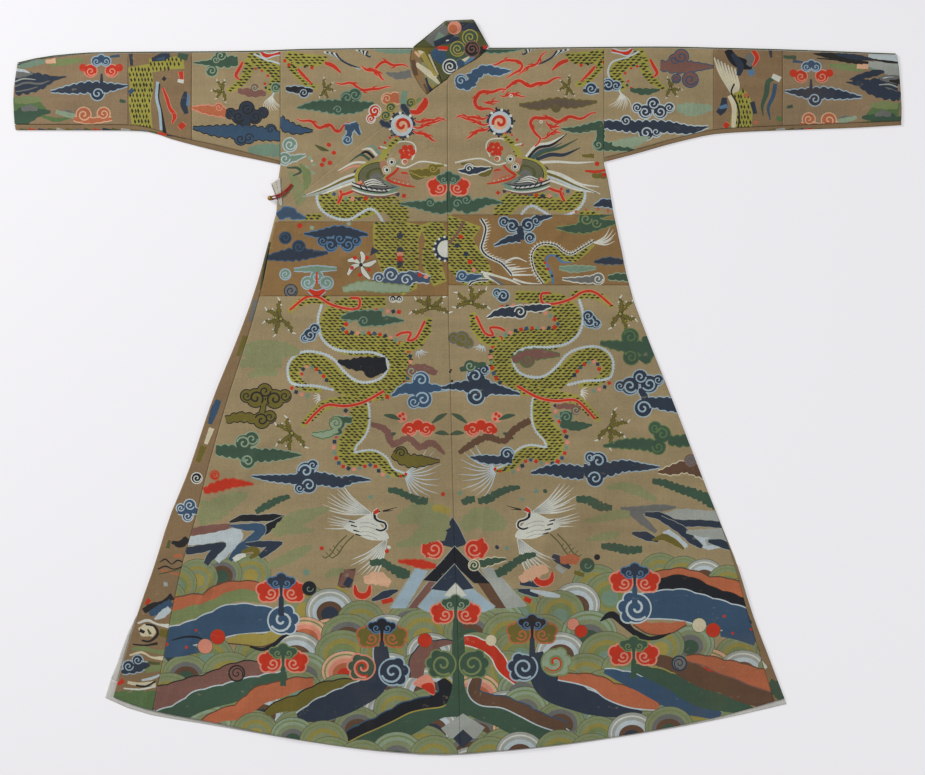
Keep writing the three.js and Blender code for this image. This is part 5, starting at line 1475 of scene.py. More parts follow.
# %% Cuffs
def cuff(field):
    """Rocks at the cuff's edge, a three-headed cloud and one long cloud under it."""
    for silk, points, widths in [
            ("teal", [(18, 66), (32, 64), (48, 61)], [6, 7, 3]),
            ("spring", [(50, 64), (66, 62), (84, 60)], [6, 8, 3]),
            ("peach", [(46, 62), (56, 61)], [4, 6]),
            ("navy", [(15, 84), (30, 83), (44, 81), (54, 79), (67, 77)], [26, 23, 16, 6, 1]),
            ("smoke", [(15, 75), (24, 74), (33, 74)], [8, 7, 2]),
            ("ice", [(16, 70), (24, 71), (30, 73)], [3, 3, 1]),
            ("stone", [(15, 82), (24, 79), (36, 80)], [1.4, 1.6, 0.8]),
            ("smoke", [(15, 87), (26, 83), (40, 84), (50, 81)], [1.6, 2.2, 2, 0.8]),
            ("smoke", [(16, 92), (28, 90), (38, 87)], [1.2, 1.6, 0.8]),
            ("black", [(16, 64), (36, 59), (60, 56), (96, 53)], [4, 3, 2.4, 1]),
            ("leaf", [(14, 108), (26, 106), (38, 106), (46, 110)], [22, 18, 10, 3]),
            ("spring", [(15, 101), (28, 100), (42, 100)], [6, 9, 4]),
            ("green", [(14, 120), (26, 116), (38, 113), (51, 112)], [18, 19, 10, 3]),
            ("smoke", [(22, 110), (30, 108), (38, 110)], [4, 7, 3]),
            ("leaf", [(42, 116), (56, 120), (70, 118)], [3, 5, 2]),
            ("smoke", [(60, 113), (68, 112), (76, 115)], [2, 4, 2]),
            ("green", [(120, 101), (126, 102)], [4, 3]),
            ("spring", [(30, 126), (60, 128), (100, 128), (126, 127)], [4, 5, 5, 4]),
            ("mint", [(56, 112), (72, 116), (84, 118)], [4, 6, 2])]:
        stroke(field, silk, points, widths, ripple=0.25, pitch=8)
    cloud(field, "salmon", "peach", [(84, 115, 7, 1, 20), (104, 114, 6, -1, 160)],
          [([(74, 119), (90, 121), (112, 119)], [4, 6, 3])])
    cloud(field, "navy", "pale", [(98, 94, 6.5, -1, 0)],
          [([(51, 92), (70, 90), (88, 88), (106, 88), (128, 86)], [1, 9, 13, 11, 1])])
    stroke(field, "navy", [(102, 74), (102, 86)], [2, 4])
    lobes(field, "red", "pink", 101.5, 71, 6.0, spread=1.7, rim=1.0, top=False)
    for dx in (-18, 18):
        disc(field, "red", 101.5 + dx, 68, 4)
    lobes(field, "blue", "pale", 101.5, 61.5, 4.6, rim=1.1)
    stroke(field, "blue", [(110, 57), (120, 56)], [2, 3])


cuff("cuff_right")
FOLDS.append((912.5, 5.5))
cuff("cuff_left")
FOLDS.clear()
for silk, points, widths in [
        ("stone", [(868, 64), (882, 67), (900, 71)], [5, 12, 16]),
        ("ice", [(868, 56), (884, 57), (898, 58)], [4, 8, 9]),
        ("ink", [(813, 54), (830, 56), (850, 60), (866, 64)], [1, 7, 8, 2]),
        ("navy", [(836, 54.5), (856, 57.5), (874, 60)], [3, 6, 2]),
        ("ink", [(874, 60), (888, 62), (898, 63)], [1.4, 3, 2]),
        ("navy", [(849, 80), (860, 77), (876, 73), (884, 72)], [1, 6, 7, 2]),
        ("navy", [(852, 80), (866, 84), (882, 92), (900, 97)], [4, 9, 10, 10]),
        ("ink", [(889, 81), (900, 82)], [2, 6]),
        ("smoke", [(878, 78), (890, 76), (900, 77)], [1, 2, 2]),
        ("peach", [(862, 66), (868, 67)], [4, 6]), ("green", [(783, 57), (796, 58)], [3, 5])]:
    stroke("cuff_left", silk, points, widths, ripple=0.25, pitch=8)

# %% [markdown]
# ### Patches, strips and side pieces
# Between cuff and sleeve, under the arms and down the sides, the robe is pieced from scraps.
# Their pattern runs crosswise or stops short at a seam, which is what shows them to be scraps.

# %% Patches of the sleeves
K = "patch_right"
scales(K, [(139, 66), (142, 84), (140, 104), (143, 130)], [22, 24, 22, 20], wide=3.4, tall=5.2,
       upright=True)
scales(K, [(150, 66), (168, 64), (184, 62)], [14, 12, 14], wide=4, tall=4.6, upright=True)
for silk, points, widths in [
        ("pale", [(158, 82), (157, 98), (160, 112), (163, 130)], [3, 3, 3, 6]),
        ("ink", [(160, 84), (159, 98), (162, 112), (165, 134)], [1.6, 1.4, 1.4, 4]),
        ("red", [(163, 88), (167, 98), (170, 108), (175, 116), (172, 124)], [1.6, 3, 3, 4, 1]),
        ("red", [(181, 72), (182, 80)], [5, 3]), ("red", [(180, 124), (184, 128)], [6, 7]),
        ("navy", [(186, 92), (184, 104), (187, 114)], [3, 7, 4]),
        ("sky", [(189, 94), (188, 106)], [2, 3]), ("white", [(178, 81), (184, 82)], [3, 4]),
        ("navy", [(153, 60), (163, 57), (170, 55)], [4, 8, 5]),
        ("blue", [(157, 60), (165, 58)], [2, 3]), ("navy", [(131, 54), (132, 66)], [4, 3]),
        ("black", [(163, 78), (166, 80)], 4), ("blue", [(130, 90), (133, 93)], [6, 6]),
        ("green", [(178, 55), (188, 58)], [5, 7]), ("ink", [(148, 136), (156, 139)], [4, 5])]:
    line(K, silk, points, widths, "pink" if silk == "red" else None, 0.5)
K = "patch_left"
for k in range(7):
    line(K, "cream", [(714 + 3.4 * k, 58 + 1.8 * k), (720 + 3 * k, 74 + 1.8 * k),
                      (733 + 0.8 * k, 97 - k)], [1.0, 2.4, 1.2], "stone", 0.3)
scales(K, [(737, 92), (742, 106), (740, 132)], [14, 20, 22], wide=3.4, tall=5.2, upright=True)
stroke(K, "ink", [(734, 84), (731, 93), (737, 104), (739, 118), (737, 134)], 1.7)
stroke(K, "cream", [(729, 96), (734, 108), (733, 130)], [4, 5, 4])
for silk, points, widths in [
        ("black", [(727, 50), (734, 60), (742, 64), (752, 66)], [7, 10, 11, 8]),
        ("navy", [(732, 54), (740, 66), (738, 76)], [4, 7, 4]),
        ("smoke", [(746, 55), (751, 60), (748, 66)], [6, 9, 5]),
        ("red", [(753, 51), (757, 58), (753, 66)], [4, 4, 2]),
        ("sky", [(750, 70), (752, 76)], [8, 5]), ("navy", [(770, 50), (771, 58)], [4, 2]),
        ("green", [(776, 78), (768, 82), (766, 94), (762, 106), (763, 116)], [3, 5, 5, 3, 1]),
        ("blue", [(775, 84), (773, 96), (768, 108), (770, 120)], [4, 4, 3, 1]),
        ("white", [(772, 76), (780, 80)], [5, 6]), ("navy", [(724, 98), (723, 108), (718, 114)],
                                                   [5, 8, 6]),
        ("sky", [(719, 108), (727, 106)], [3, 4]), ("navy", [(752, 102), (755, 114)], [5, 4]),
        ("red", [(724, 124), (728, 127)], [5, 6]), ("salmon", [(744, 95), (748, 96)], [4, 4]),
        ("leaf", [(776, 118), (782, 120)], [4, 6]), ("salmon", [(755, 121), (756, 124)], 4)]:
    line(K, silk, points, widths, "pink" if silk == "red" else None, 0.5)

# %% Strips under the sleeves
for field, y0, flip in (("under_right", 133, 1), ("under_left", 135, -1)):
    for k in range(30):
        x = 20 + 9.2 * k
        silk = ("moss", "red", "navy", "moss", "stone", "olive", "smoke")[k % 7]
        at = x if flip > 0 else 906 - x
        low = 129 + max(0.0, (x - 120) / 150) ** 1.4 * 26
        stroke(field, silk, [(at, low + 0.5), (at + 9 * flip, low + 2.0)],
               [HAND.uniform(2, 4), HAND.uniform(1, 4)])
print("sleeves:", len(shapes), "shapes")

# %% Gore and side strip
G = "gore"
for row in [("blue", "ice", [(190, 505, 5.5, 1, 20), (188, 516, 5, 1, 0), (181, 508, 4, 1, 0)],
             [([(178, 512), (192, 510), (201, 512)], [5, 8, 4])]),
            ("navy", "pale", [(129, 666, 5.5, 1, 0), (138, 660, 5, 1, 0)],
             [([(122, 672), (136, 668), (150, 664)], [4, 10, 6])]),
            ("black", "white", [(197, 478, 5, 1, 0)], [])]:
    cloud(G, *row)
for silk, points, widths in [
        ("moss", [(272, 240), (268, 262), (262, 290)], [6, 9, 5]),
        ("ink", [(270, 250), (266, 270), (262, 296)], [3, 4, 2]),
        ("smoke", [(256, 300), (250, 322)], [5, 4]), ("olive", [(246, 336), (238, 356)], [6, 4]),
        ("blue", [(219, 400), (214, 412), (210, 424)], [6, 8, 4]),
        ("cream", [(212, 428), (206, 444)], [6, 4]), ("olive", [(204, 446), (198, 462)], [7, 5]),
        ("ink", [(188, 538), (181, 544), (172, 542)], [7, 8, 3]),
        ("moss", [(170, 540), (168, 548)], [3, 4]),
        ("ink", [(160, 562), (166, 559), (172, 564), (178, 560), (185, 563)], [1, 1.8, 1.2, 1.8,
                                                                               1]),
        ("salmon", [(174, 556), (182, 555)], [3, 4]),
        ("ink", [(158, 569), (166, 566), (174, 569), (184, 566)], [1.4, 1.8, 1.2, 1.6]),
        ("salmon", [(160, 570), (168, 571), (176, 574), (182, 573)], [1.6, 2, 1.6, 2.6]),
        ("moss", [(159, 574), (168, 572), (180, 569)], [1, 1.4, 1]),
        ("stone", [(164, 584), (168, 584)], [5, 4]),
        ("red", [(146, 604), (150, 599)], [3, 5]),
        ("ink", [(144, 611), (152, 606), (163, 602), (173, 596)], [6, 7, 4, 8]),
        ("blue", [(150, 614), (160, 609), (172, 602)], [6, 9, 8]),
        ("ice", [(155, 619), (163, 614), (170, 608)], [2, 8, 6]),
        ("white", [(138, 623), (148, 620), (158, 624), (170, 626)], [2, 3, 2, 5]),
        ("olive", [(160, 632), (168, 634)], [8, 9]),
        ("cream", [(140, 632), (148, 630), (155, 634)], [9, 14, 6]),
        ("ink", [(142, 640), (150, 641), (158, 634), (155, 626), (146, 624)], [2, 2.4, 3, 2.4, 2]),
        ("ink", [(140, 630), (145, 632)], [4, 3]), ("moss", [(148, 629), (151, 634)], [2, 3]),
        ("ink", [(133, 644), (146, 645), (158, 643)], [1.6, 2, 3]),
        ("spring", [(132, 649), (144, 648), (154, 651), (166, 652)], [3, 5, 4, 6]),
        ("cream", [(130, 655), (142, 652), (152, 657), (164, 658)], [2, 2.4, 2, 5]),
        ("moss", [(148, 662), (160, 664)], [3, 4]),
        ("spring", [(146, 671), (154, 668), (162, 668)], [5, 7, 6]),
        ("ice", [(142, 680), (152, 678), (162, 674)], [2, 3, 2]),
        ("cream", [(128, 682), (140, 684), (156, 683)], [3, 4, 5]),
        ("ink", [(136, 685), (146, 686), (156, 681)], [2, 2.4, 2]),
        ("white", [(124, 688), (140, 689), (156, 686)], [1.4, 2, 2]),
        ("leaf", [(110, 700), (132, 700), (156, 702)], [18, 21, 25]),
        ("red", [(118, 684), (124, 680)], [3, 6]), ("salmon", [(108, 716), (126, 718)], [5, 4])]:
    line(G, silk, points, widths, ripple=0.2, pitch=6)
G = "strip"
for silk, points, widths in [
        ("green", [(768, 684), (778, 690), (786, 700)], [14, 16, 12]),
        ("white", [(760, 660), (766, 668)], [3, 4]), ("olive", [(752, 640), (758, 652)], [4, 6]),
        ("navy", [(744, 610), (750, 624)], [4, 5]), ("moss", [(728, 560), (736, 580)], [5, 6]),
        ("stone", [(716, 524), (722, 540)], [4, 4]), ("blue", [(700, 470), (706, 492)], [5, 6]),
        ("moss", [(684, 420), (692, 440)], [5, 5]), ("olive", [(664, 360), (672, 380)], [5, 6]),
        ("navy", [(640, 300), (650, 324)], [5, 5])]:
    line(G, silk, points, widths, ripple=0.3, pitch=6)

# %% [markdown]
# ### Collar
# The stiff collar stands up, folds over and crosses at the throat. Its two leaves are scraps of
# a darker, more crowded cloth, so their pattern is bold and close.

# %% Collar
C = ("collar_outer", "collar_back")
for silk, points, widths in [
        ("smoke", [(430, 44), (438, 34), (446, 26)], [12, 16, 12]),
        ("teal", [(436, 42), (442, 34)], [5, 7]),
        ("navy", [(448, 26), (464, 27), (480, 28)], [6, 9, 8]),
        ("navy", [(434, 44), (448, 40), (458, 36)], [5, 9, 8]),
        ("blue", [(434, 50), (440, 56), (452, 62)], [9, 15, 12]),
        ("green", [(446, 56), (462, 52), (478, 44)], [12, 20, 18]),
        ("moss", [(444, 74), (452, 80)], [10, 7]),
        ("red", [(437, 48), (448, 49)], [3, 4]), ("pink", [(438, 50.5), (447, 51)], 0.9),
        ("ink", [(474, 52), (486, 50)], [6, 8]), ("cream", [(461, 62), (472, 57)], [3, 3.6]),
        ("brown", [(478, 58), (466, 68), (458, 76)], [3, 3, 2]),
        ("sky", [(474, 56), (465, 66), (455, 74)], [4, 5, 4]),
        ("ice", [(446, 86), (462, 76), (474, 70)], [3, 4, 3])]:
    stroke(C, silk, points, widths)
disc(C, "pink", 454.6, 28, 7)
disc(C, "salmon", 453, 29, 4.5)
disc(C, "white", 447.4, 40.8, 1.7, tall=0.6)
for x, y, r, fill, edge, way in ((470, 38, 7, "green", "gold", 1), (457.5, 49.5, 6.6, "green",
                                  "gold", 1), (472, 49.5, 7, "ink", "mauve", -1),
                                 (450, 67, 6.6, "navy", "white", 1)):
    disc(C, edge, x, y, r, 1.2)
    disc(C, fill, x, y, r)
    curl(C, edge, x, y, 0.82 * r, way, 30, 1.3, 1.5)
disc(C, "blue", 460.5, 64, 4)
disc(C, "red", 485, 47.5, 2.2)
C = "collar_under"
for silk, points, widths in [
        ("olive", [(420, 46), (428, 58), (438, 74)], [10, 14, 8]),
        ("band", [(412, 52), (413, 66), (420, 80)], [5, 7, 6]),
        ("wash", [(424, 62), (430, 76), (436, 88)], [6, 10, 8]),
        ("peach", [(415, 52), (420, 57)], [2.4, 3]), ("wash", [(416, 46), (424, 44)], [4, 5]),
        ("brown", [(424, 84), (428, 92)], [2, 3]), ("salmon", [(431, 84), (433, 88)], [2, 2]),
        ("straw", [(426, 78), (430, 86), (436, 86)], [2, 2.4, 2]),
        ("cream", [(430, 54), (435, 63), (440, 74)], [4, 6, 5]),
        ("cream", [(416, 64), (428, 73), (441, 83)], [4, 6, 6]),
        ("gold", [(420, 50), (426, 60), (436, 76)], [6, 5, 3]),
        ("moss", [(438, 76), (444, 84)], [5, 5]), ("navy", [(426, 78), (428, 85), (432, 92)],
                                                  [2.4, 2.4, 5]),
        ("cream", [(418, 48), (422, 54)], [3, 4]), ("brown", [(413, 60), (416, 76)], [4, 5])]:
    stroke(C, silk, points, widths)
print("all:", len(shapes), "shapes")
# %% [markdown]
# ## Silk tapestry
# The cloth is a fine ribbed weave: warps run from collar to hem and are hidden, and the wefts
# that cover them run across. Each weft was dyed and laid by hand, so the colour drifts from
# band to band and from thread to thread. Age adds soft brown stains, rubbed places where the
# bare warp shows, and a little dust. The colour itself comes from the woven shapes.

# %% The tapestry's material
tapestry_dye = Dye("silk_tapestry")
silk_colour = tapestry_dye.node("ShaderNodeAttribute", {"attribute_name": "silk"}, None)
threads = tapestry_dye.noise((260.0, 1500.0, 60.0), 2.0, 0.6)
bands = tapestry_dye.noise((3.0, 34.0, 3.0), 3.0, 0.55)
clouding = tapestry_dye.noise((7.0, 9.0, 7.0), 4.0, 0.6)
warps = tapestry_dye.noise((900.0, 12.0, 60.0), 1.0, 0.5)
tone = (tapestry_dye.between(threads, 0.3, 0.7, 0.86, 1.13)
        * tapestry_dye.between(bands, 0.3, 0.7, 0.93, 1.07)
        * tapestry_dye.between(clouding, 0.3, 0.72, 0.90, 1.09)
        * tapestry_dye.between(warps, 0.3, 0.7, 0.96, 1.04))
toned = tapestry_dye.node("ShaderNodeVectorMath", {"operation": "SCALE"},
                          {0: silk_colour, "Scale": tone})
stain = tapestry_dye.noise((4.1, 3.3, 4.0), 5.0, 0.62, 0.5)
stained = tapestry_dye.blend(tapestry_dye.between(stain, 0.55, 0.78, 0.0, 0.34), toned,
                             light_of(112, 84, 52), "MIX")
rub = tapestry_dye.noise((34.0, 60.0, 30.0), 6.0, 0.72, 0.2)
rubbed = tapestry_dye.blend(tapestry_dye.between(rub, 0.63, 0.72, 0.0, 0.42), stained,
                            light_of(176, 162, 134))
fleck = tapestry_dye.noise((420.0, 700.0, 60.0), 2.0, 0.5)
flecked = tapestry_dye.blend(tapestry_dye.between(fleck, 0.66, 0.74, 0.0, 0.45), rubbed,
                             light_of(64, 50, 36))
ribs = tapestry_dye.node("ShaderNodeTexWave", {"wave_type": "BANDS", "bands_direction": "X"}, {
    "Vector": tapestry_dye.places((1.0, 1.0, 1.0)), "Scale": 190.0, "Distortion": 1.6,
    "Detail": 2.0, "Detail Scale": 2.0})
cockle = tapestry_dye.noise((46.0, 30.0, 30.0), 4.0, 0.6, 0.3)
bumps = tapestry_dye.relief(cockle, 0.0011, tapestry_dye.relief(
    0.55 * threads + 0.45 * ribs, 0.00022))
tapestry = tapestry_dye.finish(
    Base_Color=flecked, Roughness=tapestry_dye.between(clouding, 0.3, 0.7, 0.66, 0.82),
    Specular_IOR_Level=0.28, Sheen_Weight=0.12, Sheen_Roughness=0.5, Normal=bumps)
print("tapestry nodes:", len(tapestry_dye.tree.nodes))

# %% [markdown]
# ## Panels of cloth
# Each panel takes its outline and the height of its top from its own solid. The outline, the
# woven shapes over it and a loose net of points are triangulated together, so every colour has
# a clean edge in the cloth itself; then each point is lifted to the cloth's height. A second
# sheet closes the panel from below.

# %% The lie of the cloth
CREASES = [   # x, y, degrees from +X, length, width, height and bend, in mm
    (-300, -560, 80, 430, 34, 2.6, 10), (-420, -600, 70, 300, 26, 1.8, -8),
    (-170, -600, 94, 330, 30, 2.2, 6), (-60, -520, 88, 420, 24, 1.6, -10),
    (90, -590, 97, 330, 32, 2.6, 8), (230, -560, 103, 380, 26, 1.9, -7),
    (330, -610, 108, 260, 34, 2.4, 9), (470, -560, 112, 330, 24, 1.7, 6),
    (-500, -420, 66, 330, 26, 1.8, 9), (-560, -560, 70, 260, 20, 1.4, -5),
    (-230, -330, 98, 280, 30, 1.7, 12), (40, -300, 84, 300, 26, 1.5, -9),
    (200, -260, 72, 260, 28, 1.7, 8), (380, -260, 118, 300, 30, 1.9, -8),
    (-390, -130, 58, 300, 26, 1.9, 10), (-300, 60, 68, 240, 22, 1.5, -6),
    (-120, -60, 12, 260, 24, 1.2, 6), (150, -20, -8, 260, 22, 1.2, -6),
    (290, 60, 112, 260, 24, 1.7, 7), (250, 190, 118, 200, 20, 1.4, -6),
    (-250, 230, 42, 220, 22, 1.6, 7), (-310, 330, 36, 130, 16, 1.3, 4),
    (-60, 150, 86, 220, 22, 1.2, 5), (70, 260, 84, 230, 22, 1.4, -6),
    (230, 330, 52, 240, 24, 1.9, 8), (270, 420, 44, 160, 18, 1.5, -5),
    (-170, 400, 32, 220, 20, 1.4, 7), (100, 480, 104, 220, 22, 1.2, 6),
    (-40, 520, 58, 160, 16, 1.0, 4), (190, 560, -24, 180, 20, 1.4, 6),
    (350, 610, 14, 180, 20, 1.6, 5), (430, 560, 16, 200, 18, 1.5, -5),
    (590, 600, 6, 200, 22, 1.7, 6), (760, 580, 4, 220, 20, 1.6, -6),
    (810, 630, -4, 130, 18, 1.3, 4), (-400, 610, -14, 190, 22, 1.7, 6),
    (-470, 545, -17, 200, 18, 1.5, -5), (-600, 600, -6, 200, 20, 1.6, 6),
    (-760, 580, -4, 220, 20, 1.6, 6), (-820, 630, 5, 130, 16, 1.3, -4),
    (590, -420, 116, 240, 20, 1.5, 5), (-620, -620, 74, 130, 16, 1.1, 3),
]
WAVES = [     # slow unevenness of the whole cloth: mm from crest to crest in x and y, mm high
    (170.0, 240.0, 0.22, 0.3), (96.0, -150.0, 0.16, 1.9), (-61.0, 83.0, 0.11, 4.0),
    (37.0, 49.0, 0.05, 2.2), (-29.0, 41.0, 0.05, 0.7),
]


def crease_height(x, y):
    """How far the laid cloth lifts at x, y, in mm: soft ridges over slow waves."""
    lift = np.zeros_like(x)
    for cx, cy, degrees, length, width, height, bend in CREASES:
        c, s = math.cos(math.radians(degrees)), math.sin(math.radians(degrees))
        along = ((x - cx) * c + (y - cy) * s) / (length / 2)
        near = np.abs(along) < 1
        if not near.any():
            continue
        u = along[near]
        v = -(x[near] - cx) * s + (y[near] - cy) * c - bend * (1 - u ** 2)
        swing = width * (0.72 + 0.28 * np.cos(2.3 * u + cx))
        v = v / swing
        ridge = np.exp(-v ** 2 * np.where(v > 0, 5.0, 2.6))
        lift[near] += height * (1 - u ** 2) ** 1.5 * (1 + 0.25 * np.sin(5 * u + cy)) * ridge
    for wide, tall, high, start in WAVES:
        lift += high * (1 + np.sin(2 * np.pi * (x / wide + y / tall) + start))
    return lift


def hidden_crease(x, y):
    """Shallow troughs in the lowest sheet, under the robe, in mm."""
    return np.clip(0.36 * crease_height(-x + 40, y + 30), 0, 0.9)


class Lie:
    """The height of a solid's top, in mm, read on a net and smoothed by a cubic B-spline."""

    NET = 12.0

    def __init__(self, node, creased):
        mesh = node.data
        points = np.array([v.co for v in mesh.vertices]) / MM
        tree = BVHTree.FromPolygons([Vector(p) for p in points],
                                    [tuple(p.vertices) for p in mesh.polygons])
        self.corner = points[:, :2].min(0) - 3 * self.NET
        reach = points[:, :2].max(0) + 3 * self.NET - self.corner
        count = np.ceil(reach / self.NET).astype(int) + 2
        net = np.full((count[0], count[1]), np.nan)
        for i in range(count[0]):
            for j in range(count[1]):
                x, y = self.corner + self.NET * np.array([i, j])
                hit = tree.ray_cast(Vector((x, y, 100)), Vector((0, 0, -1)))[0]
                if hit is not None:
                    net[i, j] = hit.z
        if np.isnan(net).all():
            net[:] = points[:, 2].max()
        while np.isnan(net).any():
            wide = np.pad(net, 1, constant_values=np.nan)
            around = np.stack([wide[a:a + net.shape[0], b:b + net.shape[1]]
                               for a in range(3) for b in range(3)])
            known = ~np.isnan(around)
            mean = np.where(known.any(0), np.nansum(around, 0) / np.maximum(known.sum(0), 1),
                            np.nan)
            net = np.where(np.isnan(net), mean, net)
        self.net, self.creased = net, creased

    def top(self, x, y):
        u, v = (x - self.corner[0]) / self.NET, (y - self.corner[1]) / self.NET
        i, j = np.floor(u).astype(int), np.floor(v).astype(int)
        i = np.clip(i, 1, self.net.shape[0] - 3)
        j = np.clip(j, 1, self.net.shape[1] - 3)
        z = np.zeros_like(x)
        for a, wa in enumerate(b_spline(u - i)):
            for b, wb in enumerate(b_spline(v - j)):
                z += wa * wb * self.net[i + a - 1, j + b - 1]
        return z + crease_height(x, y) if self.creased else z


def b_spline(t):
    return ((1 - t) ** 3 / 6, (3 * t ** 3 - 6 * t ** 2 + 4) / 6,
            (-3 * t ** 3 + 3 * t ** 2 + 3 * t + 1) / 6, t ** 3 / 6)


print("creases:", len(CREASES))

# %% Outline of a solid's top
def loop_of(edges):
    """The longest closed loop in a list of directed edges."""
    after = dict(edges)
    loops = []
    while after:
        start, here = after.popitem()
        loop = [start]
        while here != start and here in after:
            loop.append(here)
            here = after.pop(here)
        loops.append(loop)
    return max(loops, key=len)


def top_outline(node):
    """The plan of a solid's top, in mm, counter-clockwise."""
    mesh = node.data
    places = {}
    key = [places.setdefault(tuple(round(c, 6) for c in v.co), i)
           for i, v in enumerate(mesh.vertices)]
    edges = {}
    for polygon in mesh.polygons:
        if polygon.normal.z > 0.3:
            ring = [key[i] for i in polygon.vertices]
            for a, b in zip(ring, ring[1:] + ring[:1]):
                if (b, a) in edges:
                    del edges[(b, a)]
                else:
                    edges[(a, b)] = True
    loop = loop_of(list(edges))
    p = np.array([mesh.vertices[i].co[:2] for i in loop]) / MM
    return p if area_of(p) > 0 else p[::-1]


def spaced(p, step):
    """A closed outline with no side longer than step."""
    found = []
    for a, b in zip(p, np.roll(p, -1, axis=0)):
        count = max(1, int(np.ceil(np.hypot(*(b - a)) / step)))
        found.extend(a + (b - a) * k / count for k in range(count))
    return np.array(found)


def to_edge(points, outline):
    """Each point's distance to the outline, and the outward direction there."""
    a, b = outline, np.roll(outline, -1, axis=0)
    run = b - a
    long = np.maximum((run ** 2).sum(1), 1e-9)
    out = np.stack([run[:, 1], -run[:, 0]], 1) / np.sqrt(long)[:, None]
    distance, outward = np.empty(len(points)), np.empty((len(points), 2))
    for s in range(0, len(points), 4000):
        p = points[s:s + 4000]
        t = np.clip(((p[:, None] - a) * run).sum(2) / long, 0, 1)
        gap = p[:, None] - (a + t[:, :, None] * run)
        far = (gap ** 2).sum(2)
        best = far.argmin(1)
        distance[s:s + 4000] = np.sqrt(far[np.arange(len(p)), best])
        outward[s:s + 4000] = out[best]
    return distance, outward


# %% [markdown]
# ### From plan to cloth
# A picture wrapped on the cloth would be simple, but it blurs when one comes near. Here every
# woven shape is part of the mesh: the shapes, the seam and a loose net of points go through one
# triangulation, and each triangle takes the silk of the last shape woven over it. The result
# is closed underneath, so that the panel is a thin solid sheet.

# %% Sizes of the cloth
CLOTH = 2.0          # mm, silk tapestry with its lining
EDGE_ROUND = 2.6     # mm, how far in from a seam the cloth is still turning down
EDGE_DROP = 0.85     # mm, how far it has turned down at the seam
WEAVE_STEP = 14.0    # mm, the loose net of points
SNAP = 2e-3          # mm, points nearer than this become one
OUTLINE_STEP = 12.0  # mm, the longest side of a seam's outline
SPILL_SHARE, SPILL_ROOM = 1.3, 20.0     # a shape may fill this much more than itself, and mm2
LOWEST = 0.5         # mm, an underside below this lies on the floor
PROBE = 1.5          # mm, how far apart heights are read to find a slope


# %% Triangles in plan

def triangulated(rings, edges, net):
    """Constrained triangles over polygons, loose edges and points, all in mm in plan."""
    points, faces = [], []
    for ring in rings:
        faces.append(list(range(len(points), len(points) + len(ring))))
        points.extend(ring)
    sides = []
    for ring in edges:
        base = len(points)
        points.extend(ring)
        sides += [(base + i, base + (i + 1) % len(ring)) for i in range(len(ring))]
    points.extend(net)
    return delaunay_2d_cdt([Vector((float(x), float(y))) for x, y in points], sides, faces, 1,
                           SNAP, True)


def net_points(outline, step):
    low, high = outline.min(0), outline.max(0)
    rng = np.random.default_rng(7)
    x, y = np.meshgrid(np.arange(low[0], high[0], step), np.arange(low[1], high[1], step))
    p = np.stack([x.ravel(), y.ravel()], 1)
    return p + rng.uniform(-0.22, 0.22, p.shape) * step


def inset(outline, by):
    run = np.roll(outline, -1, axis=0) - np.roll(outline, 1, axis=0)
    run /= np.maximum(np.hypot(run[:, 0], run[:, 1]), 1e-9)[:, None]
    return outline + np.stack([-run[:, 1], run[:, 0]], 1) * by


def woven_top(outline, over, ground, step):
    """The cloth's top in plan: its points, triangles, each one's silk, and the rim in order."""
    rounds = [inset(outline, EDGE_ROUND * share) for share in (0.35, 1.0)]
    plan, _, tris, _, _, owners = triangulated(
        [outline] + [p for p, _ in over], rounds, net_points(outline, step))
    silk_of = [SILK_NAMES.index(ground)] + [silk for _, silk in over]
    # A shape whose triangles add up to more than itself has spilt over its own edge: leave it.
    flat = np.array([p[:] for p in plan])[np.array(tris)]
    (ax, ay), (bx, by) = (flat[:, 1] - flat[:, 0]).T, (flat[:, 2] - flat[:, 0]).T
    sizes = np.abs(ax * by - ay * bx) / 2
    filled = np.zeros(len(over) + 1)
    np.add.at(filled, [w for who in owners for w in who],
              np.repeat(sizes, [len(who) for who in owners]))
    spilt = {w for w, (p, _) in enumerate(over, 1)
             if filled[w] > SPILL_SHARE * area_of(p) + SPILL_ROOM}
    kept = [i for i, who in enumerate(owners) if 0 in who]
    tris = np.array([tris[i] for i in kept])
    silk = np.array([silk_of[max(w for w in owners[i] if w not in spilt)] for i in kept])
    used, tris = np.unique(tris, return_inverse=True)
    tris = tris.reshape(-1, 3)
    open_sides = {}
    for a, b, c in tris:
        for pair in ((a, b), (b, c), (c, a)):
            if pair[::-1] in open_sides:
                del open_sides[pair[::-1]]
            else:
                open_sides[pair] = True
    return np.array([plan[i][:] for i in used]), tris, silk, np.array(loop_of(list(open_sides)))


def plain_base(outline, ring, step):
    """The underside in plan: its points, triangles, and which of them lie under the ring's."""
    plan, _, tris, sources, _, owners = triangulated([ring], [], net_points(outline, step))
    tris = np.array([t for t, who in zip(tris, owners) if 0 in who])
    used, tris = np.unique(tris, return_inverse=True)
    under = {source: i for i, found in enumerate(used) for source in sources[found]
             if source < len(ring)}
    return np.array([plan[i][:] for i in used]), tris.reshape(-1, 3), under


